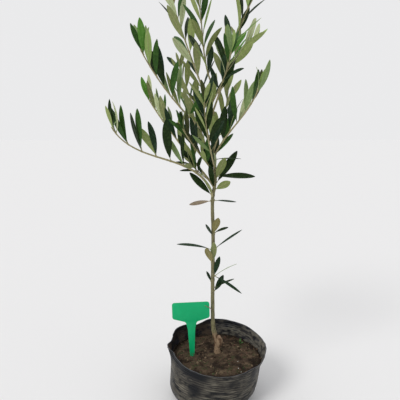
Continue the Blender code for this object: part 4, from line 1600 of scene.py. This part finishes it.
@dataclass(frozen=True)
class Pot:
    """The thin soft pot with its crumpled rim. A bump of the rim is its side in degrees, its rise and
    flare in mm and its half width in degrees. The depths of the creases are in mm."""

    radius: float = 73.5 * MM
    wall: float = 1.2 * MM
    corner: float = 24 * MM
    rim_height: float = 13.5 * MM
    rim_slope: float = 13.9 * MM
    high_side: float = math.radians(105)
    rim_start: float = 18 * MM
    foot_shift: float = -5 * MM
    foot_squash: float = 7 * MM
    squash_side: float = -0.5
    smooth_height: float = 6 * MM
    smooth_reach: float = 14 * MM
    crease_slant: float = 0.12
    creasing: Ripple = Ripple(46.0, (0.5, 0.5, 6.0))
    crease_depth: float = 0.28
    ridge_pitch: float = 3.6 * MM
    ridge_wander: float = 2.5 * MM
    ridge_course: Ripple = Ripple(24.0)
    ridge_cover: float = 0.5
    ridge_spread: Ripple = Ripple(34.0, (1.0, 1.0, 1.5))
    ridge_depth: float = 0.42
    folding: Ripple = Ripple(22.0, (1.0, 1.0, 1.6))
    fold_depth: float = 0.9
    pleating: Ripple = Ripple(70.0, (1.0, 1.0, 0.25))
    pleat_depth: float = 0.8
    drawn_in: float = 0.5
    sides: int = 320
    floor_rings: tuple[float, ...] = (0.02, 0.3, 0.6, 0.9)
    corner_rings: int = 10
    wall_rings: int = 150
    lip_rings: int = 3
    liner_rings: int = 30
    liner_depth: float = 8 * MM
    bumps: tuple[tuple[float, float, float, float], ...] = (
        (5, 0, 8.5, 30),
        (45, 1.5, 2.0, 25),
        (117, -7, -1.0, 13),
        (158, 4, 2.6, 16),
        (186, 1, 7.5, 8),
        (210, -2.5, -1.0, 16),
        (-24, -4, 1.5, 16),
    )

    def rim_rise(self, angle: float) -> float:
        """Height of the rim above the soil at an angle."""
        bumps = sum(rise * wave(angle, side, width) for side, rise, _, width in self.bumps)
        return self.rim_height + self.rim_slope * math.cos(angle - self.high_side) + bumps * MM

    def rim_flare(self, angle: float) -> float:
        """How far the rim leans out at an angle."""
        return sum(flare * wave(angle, side, width) for side, _, flare, width in self.bumps) * MM

    def shaped(self, radius: float, angle: float, height: float) -> Vector:
        """Where a point of the plain turned pot lies on the crumpled one.

        Args:
            radius: The point's distance from the middle.
            angle: Its side.
            height: Its height with a level rim.

        Returns:
            The point.
        """
        share = max(height - SOIL_LEVEL + self.rim_start, 0) / (self.rim_start + self.rim_height)
        rise = self.rim_rise(angle)
        true = height + share * (rise - self.rim_height)
        upper = max(true - SOIL_LEVEL + self.rim_start, 0) / (self.rim_start + rise)
        lower = max(1 - true / SOIL_LEVEL, 0)
        squash = self.foot_squash * lower**2 * (1 + math.cos(angle - self.squash_side)) / 2
        radius += (upper**2 * self.rim_flare(angle) - squash) * radius / self.radius
        shift = self.foot_shift * lower
        return Vector((radius * math.cos(angle) + shift, radius * math.sin(angle), true))

    def creases(self, point: Vector, height: float) -> float:
        """How far the film stands in or out: fine creases round it and soft folds.

        Args:
            point: The place on the wall.
            height: Its height with a level rim.

        Returns:
            The distance outwards.
        """
        calm = min(max((height - self.smooth_height) / self.smooth_reach, 0), 1)
        slanted = point + UP * (self.crease_slant * point.x)
        creases = self.crease_depth * (1 - 2 * abs(self.creasing.at(slanted)))
        row = slanted.z + self.ridge_wander * self.ridge_course.at(slanted)
        strength = max(self.ridge_cover + self.ridge_spread.at(point), 0)
        ridges = self.ridge_depth * strength * math.cos(math.tau * row / self.ridge_pitch)
        folds = self.fold_depth * self.folding.at(point)
        upper = max((height - SOIL_LEVEL) / self.rim_height, 0)
        pleats = self.pleat_depth * self.pleating.at(point) * upper
        return calm * (creases + ridges + folds + pleats - self.drawn_in) * MM

    def profile(self) -> list[tuple[float, float]]:
        """The wall's outline, from under the middle over the rim to below the soil.

        Returns:
            The radius and the height of each ring, with the rim level.
        """
        foot = self.radius - self.corner
        rows = [(foot * share, 0.0) for share in self.floor_rings]
        for step in range(self.corner_rings + 1):
            turn = RIGHT_ANGLE * step / self.corner_rings
            rows.append((foot + self.corner * math.sin(turn), self.corner * (1 - math.cos(turn))))
        top = SOIL_LEVEL + self.rim_height
        count = self.wall_rings
        rows += [(self.radius, self.corner + (top - self.corner) * n / count) for n in range(1, count + 1)]
        lip = self.wall / 2
        for step in range(1, self.lip_rings + 1):
            turn = math.pi * step / (self.lip_rings + 1)
            rows.append((self.radius - lip + lip * math.cos(turn), top + lip * math.sin(turn)))
        inner, count = self.radius - self.wall, self.liner_rings
        depth = top - SOIL_LEVEL + self.liner_depth
        rows += [(inner, top - depth * n / count) for n in range(count + 1)]
        return rows

    def build(self, finishes: Finishes) -> None:
        """Makes the pot's film.

        Args:
            finishes: The materials.
        """
        rings = []
        for radius, height in self.profile():
            ring = []
            for step in range(self.sides):
                angle = math.tau * step / self.sides
                point = self.shaped(radius, angle, height)
                ring.append(point + level(angle) * self.creases(point, height))
            rings.append(ring)
        inside = len(rings) - 1 - self.liner_rings
        lip = inside - self.lip_rings - 1

        def side_of_film(band: int, _: int) -> Film:
            """The part of the film that a band belongs to."""
            if band >= inside:
                return Film.INSIDE
            return Film.LIP if band >= lip else Film.OUTSIDE

        made = Draft()
        made.loft(rings, side_of_film)
        dress(made.piece("pot_film", finishes.film), Slot.POT, "pot")

    def inner(self, angle: float, true: float) -> Vector:
        """The point in the middle of the creased film at an angle and a true height.

        Args:
            angle: Its side.
            true: Its height in the frame.

        Returns:
            The point.
        """
        low = SOIL_LEVEL - self.rim_start
        drawn_up = (self.rim_start + self.rim_rise(angle)) / (self.rim_start + self.rim_height)
        height = low + (true - low) / drawn_up if true > low else true
        point = self.shaped(self.radius - self.wall / 2, angle, height)
        return point + level(angle) * self.creases(point, height)


@dataclass(frozen=True)
class Soil:
    """The lumpy soil with its crumbs, a stick, moss and a weed. Places, rises, sags, depths and the
    ranges of sizes are in mm, right_width in degrees. The stick is x, y, length and side in degrees, a
    leaf of the weed side and rise in degrees and length, the trunk's clear spot x, y and reach."""

    pot: Pot
    rings: int = 80
    sides: int = 260
    lumps: tuple[tuple[float, Ripple], ...] = (
        (2.4, Ripple(38.0)),
        (1.8, Ripple(85.0)),
        (1.1, Ripple(190.0)),
        (0.4, Ripple(420.0)),
    )
    calm_middle: float = 9 * MM
    calm_reach: float = 14 * MM
    least_lumps: float = 0.12
    pit: tuple[float, float] = (36, -55)
    pit_depth: float = 3.5
    pit_reach: float = 4.5 * MM
    heap: tuple[float, float] = (28, 26)
    heap_rise: float = 2.2
    heap_reach: float = 14 * MM
    edge_power: int = 8
    edge_sag: float = 2.0
    right_sag: float = 3.5
    right_width: float = 50
    settled: float = 0.4
    edge_drop: float = 3 * MM
    hidden_depth: float = 12 * MM
    hidden_share: float = 0.95
    crumb_count: int = 900
    crumb_edge: float = 0.96
    trunk_spot: tuple[float, float, float] = (2, 2, 6.5)
    crumb_kinds: tuple[Crumb, ...] = (Crumb.DARK, Crumb.BROWN, Crumb.TAN, Crumb.RED)
    crumb_weights: tuple[float, ...] = (5, 5, 1.0, 0.6)
    crumb_least: float = 0.45
    crumb_spread: float = 1.9
    crumb_rarity: int = 4
    crumb_lift: float = 0.2
    crumb_round: float = 1.1 * MM
    crumb_widths: Range = (0.6, 1)
    crumb_heights: Range = (0.5, 0.85)
    crumb_roughness: float = 0.3
    crumb_ripples: float = 1.4
    crumb_variety: float = 900
    shards: tuple[tuple[float, float], ...] = ((33, -27), (32, -49), (36, -52))
    shard_size: float = 0.9 * MM
    shard_lift: float = 0.5 * MM
    stick: tuple[float, float, float, float] = (-27, 32, 14, 20)
    scrap_count: int = 14
    scrap_places: Range = (18, 62)
    scrap_lengths: Range = (3, 8)
    scrap_shares: tuple[float, ...] = (-0.5, -0.2, 0.1, 0.3, 0.5)
    scrap_radius: float = 0.5
    scrap_flatness: float = 0.2
    scrap_sides: int = 6
    scrap_lift: float = 0.5 * MM
    moss_count: int = 70
    moss_sides: Range = (math.pi * 0.8, math.pi * 1.75)
    moss_places: Range = (25, 66)
    moss_sizes: Range = (0.5, 1.0)
    moss_lift: float = 0.1 * MM
    weed: tuple[float, float] = (42, 31)
    weed_leaves: tuple[tuple[float, float, float], ...] = (
        (200, 55, 9),
        (320, 40, 8),
        (80, 65, 10),
        (260, 75, 7),
        (20, 30, 7),
    )
    weed_width: float = 3.4 * MM
    weed_arch: float = 0.9

    def height(self, x: float, y: float) -> float:
        """Height of the soil at a place, lumpy but level where the trunk stands.

        Args:
            x: The place along X.
            y: The place along Y.

        Returns:
            The height in the frame.
        """
        spot = Vector((x, y, 0))
        distance = spot.length
        fade = min(max((distance - self.calm_middle) / self.calm_reach, self.least_lumps), 1)
        lumps = sum(rise * ripple.at(spot) for rise, ripple in self.lumps)
        pit = self.pit_depth * math.exp(-((spot - mm((*self.pit, 0))).length / self.pit_reach) ** 2)
        heap = self.heap_rise * math.exp(-((spot - mm((*self.heap, 0))).length / self.heap_reach) ** 2)
        edge = (distance / self.pot.radius) ** self.edge_power
        sag = edge * (self.edge_sag + self.right_sag * wave(math.atan2(y, x), 0, self.right_width))
        return SOIL_LEVEL + (fade * (lumps + heap) - pit - sag - self.settled) * MM

    def on_top(self, x: float, y: float, lift: float = 0.0) -> Vector:
        """The point at a place on the soil, or a little above it."""
        return Vector((x, y, self.height(x, y) + lift))

    def bed(self) -> Draft:
        """The soil's surface, closed underneath out of sight.

        Returns:
            The soil as a draft.
        """
        angles = [math.tau * step / self.sides for step in range(self.sides)]
        guesses = [self.pot.inner(angle, SOIL_LEVEL - self.edge_drop) for angle in angles]
        heights = [self.height(guess.x, guess.y) for guess in guesses]
        edges = [self.pot.inner(angle, height) for angle, height in zip(angles, heights)]
        rings = []
        for number in range(1, self.rings + 1):
            share = number / self.rings
            rings.append([self.on_top(edge.x * share, edge.y * share) for edge in edges])
        floor = SOIL_LEVEL - self.hidden_depth
        feet = [self.pot.inner(angle, floor) for angle in angles]
        under = [Vector((foot.x * self.hidden_share, foot.y * self.hidden_share, floor)) for foot in feet]
        made = Draft()
        made.loft([under, *reversed(rings), [self.on_top(0, 0)]])
        return made

    def crumb(self, rng: random.Random, place: Vector, size: float) -> Draft:
        """One uneven crumb.

        Args:
            rng: The random draws.
            place: Its middle.
            size: Its radius.

        Returns:
            The crumb.
        """
        shape = bmesh.new()
        bmesh.ops.create_icosphere(shape, subdivisions=2 if size > self.crumb_round else 1, radius=1)
        angle = rng.uniform(0, math.tau)
        turn = Matrix.Rotation(angle, 3, Vector((rng.random(), rng.random(), 1)).normalized())
        flat = Vector((1, rng.uniform(*self.crumb_widths), rng.uniform(*self.crumb_heights)))
        points = []
        for vertex in shape.verts:
            lump = noise.noise(vertex.co * self.crumb_ripples + place * self.crumb_variety)
            rough = 1 + self.crumb_roughness * lump
            points.append(place + turn @ Vector(a * b for a, b in zip(vertex.co, flat)) * size * rough)
        faces = [tuple(vertex.index for vertex in face.verts) for face in shape.faces]
        shape.free()
        return Draft(points, faces, [0] * len(faces))

    def crumbs(self) -> Draft:
        """Crumbs of every size, most of them small, and a few pale shards.

        Returns:
            The crumbs, in the order of their finishes' slots.
        """
        made, rng = Draft(), random.Random("crumbs")
        trunk_x, trunk_y, clear = (value * MM for value in self.trunk_spot)
        for _ in range(self.crumb_count):
            angle, share = rng.uniform(0, math.tau), math.sqrt(rng.random())
            edge = self.pot.inner(angle, SOIL_LEVEL)
            x, y = edge.x * share * self.crumb_edge, edge.y * share * self.crumb_edge
            if math.hypot(x - trunk_x, y - trunk_y) < clear:
                continue
            size = (self.crumb_least + self.crumb_spread * rng.random() ** self.crumb_rarity) * MM
            kind = rng.choices(self.crumb_kinds, self.crumb_weights)[0]
            made.add(self.crumb(rng, self.on_top(x, y, size * self.crumb_lift), size), kind)
        for x, y in self.shards:
            place = self.on_top(x * MM, y * MM, self.shard_lift)
            made.add(self.crumb(rng, place, self.shard_size), Crumb.WHITE)
        return made

    def litter(self) -> Draft:
        """A pale stick and scraps of bark lying on the soil.

        Returns:
            The stick and the scraps.
        """
        def flat_radius(_: int, out: Vector) -> float:
            """The radius of a scrap that is flatter than wide."""
            return (self.scrap_radius - self.scrap_flatness * abs(out.z)) * MM

        made, rng = Draft(), random.Random("litter")
        spots = [self.stick]
        for _ in range(self.scrap_count):
            angle, far = rng.uniform(0, math.tau), rng.uniform(*self.scrap_places)
            x, y = far * math.cos(angle), far * math.sin(angle)
            spots.append((x, y, rng.uniform(*self.scrap_lengths), rng.uniform(0, 180)))
        for x, y, length, turn in spots:
            points = []
            for share in self.scrap_shares:
                spot = mm((x, y, 0)) + level(math.radians(turn)) * share * length * MM
                points.append(self.on_top(spot.x, spot.y, self.scrap_lift))
            made.loft(tube_rings(points, flat_radius, self.scrap_sides))
        return made

    def greens(self) -> Draft:
        """Tufts of moss on the left and in front, and one small weed at the back.

        Returns:
            The moss and the weed.
        """
        made, rng = Draft(), random.Random("greens")
        for _ in range(self.moss_count):
            angle, far = rng.uniform(*self.moss_sides), rng.uniform(*self.moss_places)
            place = self.on_top(far * math.cos(angle) * MM, far * math.sin(angle) * MM, self.moss_lift)
            made.add(self.crumb(rng, place, rng.uniform(*self.moss_sizes) * MM))
        foot = self.on_top(self.weed[0] * MM, self.weed[1] * MM)
        for side, rise, length in self.weed_leaves:
            along = rising(math.radians(side), math.radians(rise))
            face = (UP - along * along.z).normalized()
            blade = Leaf(foot, along, face, length * MM, self.weed_width, Shade.FRESH, arch=self.weed_arch)
            made.add(blade.draft(), 0)
        return made

    def build(self, finishes: Finishes) -> None:
        """Makes the soil and what lies on it.

        Args:
            finishes: The materials.
        """
        dress(self.bed().piece("soil_bed", [finishes.soil]), Slot.SOIL, "soil")
        dress(self.crumbs().piece("soil_crumbs", finishes.crumbs, crease=70), Slot.SOIL)
        dress(self.litter().piece("soil_litter", [finishes.cut]), Slot.BARK)
        dress(self.greens().piece("soil_greens", [finishes.moss], crease=70), Slot.FOLIAGE)


@dataclass(frozen=True)
class Label:
    """The T-shaped plant label, its face bare, with rounded edges. Turns of its corners are in
    degrees, and an edge's steps are how far down and in they lie, as shares of its round."""

    foot: tuple[float, float] = (-39.1 * MM, -8.7 * MM)
    width: float = 60 * MM
    length: float = 100 * MM
    side: float = 26.5 * MM
    shoulder: float = 11 * MM
    neck: float = 16 * MM
    stake: float = 7.4 * MM
    point: float = 5 * MM
    corner: float = 4 * MM
    arm_corner: float = 4.5 * MM
    arm_rise: float = 3 * MM
    arm_turn: Range = (-62, 0)
    inner_corner: float = 5 * MM
    inner_rise: float = 0.5 * MM
    inner_turn: Range = (170, 112)
    neck_taper: float = 2 * MM
    neck_length: float = 8 * MM
    corner_steps: int = 5
    thickness: float = 1 * MM
    edge_round: float = 0.25 * MM
    edge_steps: tuple[tuple[float, float], ...] = ((0, 1.2), (0.3, 0.3), (1, 0))
    in_soil: float = 9.2 * MM
    lean: float = math.radians(1.6)
    turn: float = math.radians(3)

    def arc(self, x: float, z: float, first: float, last: float, radius: float) -> list[tuple[float, float]]:
        """Points of a round corner.

        Args:
            x: Its middle across.
            z: Its middle up.
            first: Its first angle, in degrees.
            last: Its last angle, in degrees.
            radius: Its radius.

        Returns:
            The points as pairs of across and up.
        """
        steps = range(self.corner_steps + 1)
        turns = [math.radians(first + (last - first) * step / self.corner_steps) for step in steps]
        return [(x + radius * math.cos(turn), z + radius * math.sin(turn)) for turn in turns]

    def outline(self, inset: float) -> list[tuple[float, float]]:
        """The whole outline.

        Args:
            inset: How far it is drawn in.

        Returns:
            The points as pairs of across and up.
        """
        low = self.length - self.side - self.shoulder
        half, top = self.width / 2 - inset, self.length - inset
        shoulder = low + self.shoulder
        right = [(self.point / 2 - inset, inset), (self.stake / 2 - inset, self.in_soil)]
        right += [(self.neck / 2 - self.neck_taper - inset, low - self.neck_length)]
        inner = (self.neck / 2 + self.inner_corner, low + self.inner_rise)
        right += self.arc(*inner, *self.inner_turn, self.inner_corner + inset)
        arm = (half - self.arm_corner, shoulder + self.arm_rise)
        right += self.arc(*arm, *self.arm_turn, self.arm_corner)
        right += self.arc(half - self.corner, top - self.corner, 0, 90, self.corner)
        return right + [(-x, z) for x, z in reversed(right)]

    def build(self, finishes: Finishes) -> None:
        """Makes the label in its place.

        Args:
            finishes: The materials.
        """
        stand = Matrix.Rotation(RIGHT_ANGLE, 4, "X")
        lean = Matrix.Rotation(-self.lean, 4, "Y") @ Matrix.Rotation(self.turn, 4, "Z")
        place = Matrix.Translation((*self.foot, SOIL_LEVEL - self.in_soil)) @ lean @ stand
        half, edge = self.thickness / 2, self.edge_round
        front = [(half - edge * down, edge * inward) for down, inward in self.edge_steps]
        rows = [*front, *((-depth, inset) for depth, inset in reversed(front))]
        made = Draft()
        made.loft([
            [place @ Vector((x, z, depth)) for x, z in self.outline(inset)] for depth, inset in reversed(rows)
        ])
        dress(made.piece("plant_label", [finishes.label], crease=35), Slot.LABEL, "label")


@dataclass(frozen=True)
class DeadTwig:
    """The thin dead twig low on the trunk, in mm. Rows are the share of its reach, the rise and the
    share of its radius."""

    height: float = 74
    reach: tuple[float, float, float] = (-13.2, -25, 17)
    radius: float = 0.7
    sides: int = 8
    rows: tuple[tuple[float, float, float], ...] = (
        (0, 0, 1.5),
        (0.1, 0.3, 1.1),
        (0.3, 0.9, 1.0),
        (0.5, 1.2, 0.95),
        (0.7, 0.9, 0.85),
        (0.85, 1.3, 0.7),
        (1, 0.6, 0.45),
    )

    def build(self, trunk: Trunk, finishes: Finishes) -> None:
        """Makes the twig.

        Args:
            trunk: The trunk it grows from.
            finishes: The materials.
        """
        middle, _ = trunk.at(self.height)
        points = [middle + mm(self.reach) * share + UP * rise * MM for share, rise, _ in self.rows]

        def radius(number: int, _: Vector) -> float:
            """The radius of a ring."""
            return self.radius * self.rows[number][2] * MM

        made = Draft()
        made.loft(tube_rings(points, radius, self.sides))
        dress(made.piece("dead_twig", [finishes.cut]), Slot.BARK, "dry_twig")


@dataclass(frozen=True)
class Studio:
    """The camera, a plain pale floor and soft studio light."""

    camera_place: tuple[float, float, float] = (-0.0269, -0.6624, 0.4233)
    camera_down: float = math.radians(8.4)
    lens: float = 38.61
    sensor: float = 36.0
    floor_radius: float = 60.0
    floor_sides: int = 96
    floor_colour: Colour = (0.84, 0.84, 0.845)
    floor_roughness: float = 0.9
    backdrop: float = 0.825
    sky_colour: Colour = (1.0, 1.0, 1.01)
    sky_low: float = 0.40
    sky_high: float = 0.79
    sky_band: Range = (-0.1, 0.8)
    key_from: tuple[float, float, float] = (-1.5, -1.6, 1.9)
    key_strength: float = 1.3
    key_size: float = math.radians(24)
    key_colour: Colour = (1.0, 0.985, 0.96)

    def add_camera(self) -> None:
        """Stands the camera where the photo was taken from."""
        lens = bpy.data.cameras.new("camera")
        lens.lens = self.lens
        lens.sensor_width = self.sensor
        lens.sensor_fit = "HORIZONTAL"
        camera = bpy.data.objects.new("camera", lens)
        camera.location = self.camera_place
        camera.rotation_euler = (RIGHT_ANGLE - self.camera_down, 0, 0)
        bpy.context.scene.collection.objects.link(camera)
        bpy.context.scene.camera = camera

    def add_floor(self) -> None:
        """Lays the round pale floor."""
        shape = bmesh.new()
        bmesh.ops.create_circle(shape, cap_ends=True, segments=self.floor_sides, radius=self.floor_radius)
        mesh = bpy.data.meshes.new("floor")
        shape.to_mesh(mesh)
        shape.free()
        material = bpy.data.materials.new("pale_floor")
        material.use_nodes = True
        shader = material.node_tree.nodes["Principled BSDF"]
        shader.inputs["Base Color"].default_value = rgba(self.floor_colour)
        shader.inputs["Roughness"].default_value = self.floor_roughness
        shader.inputs["Specular IOR Level"].default_value = 0.0
        mesh.materials.append(material)
        floor = bpy.data.objects.new("floor", mesh)
        bpy.context.scene.collection.objects.link(floor)

    def add_key(self) -> None:
        """Hangs the large soft light in front on the left, far enough off to light the floor evenly."""
        light = bpy.data.lights.new("key", "SUN")
        light.energy = self.key_strength
        light.angle = self.key_size
        light.color = self.key_colour
        hung = bpy.data.objects.new("key", light)
        hung.rotation_euler = (-Vector(self.key_from)).to_track_quat("-Z", "Y").to_euler()
        bpy.context.scene.collection.objects.link(hung)

    def add_sky(self) -> None:
        """Lights the scene softly, most from above, with a backdrop of the floor's own brightness."""
        world = bpy.data.worlds.new("studio")
        world.use_nodes = True
        wiring = Wiring(world.node_tree)
        background = world.node_tree.nodes["Background"]
        way = wiring.node("TexCoord", {}).outputs["Generated"]
        height = wiring.between(wiring.node("SeparateXYZ", {0: way}).outputs[2], *self.sky_band)
        dome = wiring.node("Mix", {0: height, 2: self.sky_low, 3: self.sky_high}, data_type="FLOAT")
        seen = wiring.node("LightPath", {}).outputs["Is Camera Ray"]
        strength = wiring.node("Mix", {0: seen, 2: dome.outputs[0], 3: self.backdrop}, data_type="FLOAT")
        wiring.tree.links.new(strength.outputs[0], background.inputs["Strength"])
        background.inputs["Color"].default_value = rgba(self.sky_colour)
        bpy.context.scene.world = world

    def build(self) -> None:
        """Sets up the studio."""
        self.add_camera()
        self.add_floor()
        self.add_sky()
        self.add_key()
        bpy.context.scene.view_settings.view_transform = "Standard"


def main() -> None:
    """Builds the studio, the pot with its soil and label, and the plant."""
    logging.basicConfig(level=logging.INFO, format="%(name)s %(message)s")
    Studio().build()
    finishes = Finishes(Effects())
    pot, trunk = Pot(), Trunk()
    pot.build(finishes)
    Soil(pot).build(finishes)
    Label().build(finishes)
    DeadTwig().build(trunk, finishes)
    Crown(trunk, finishes).build()


if __name__ == "__main__":
    main()
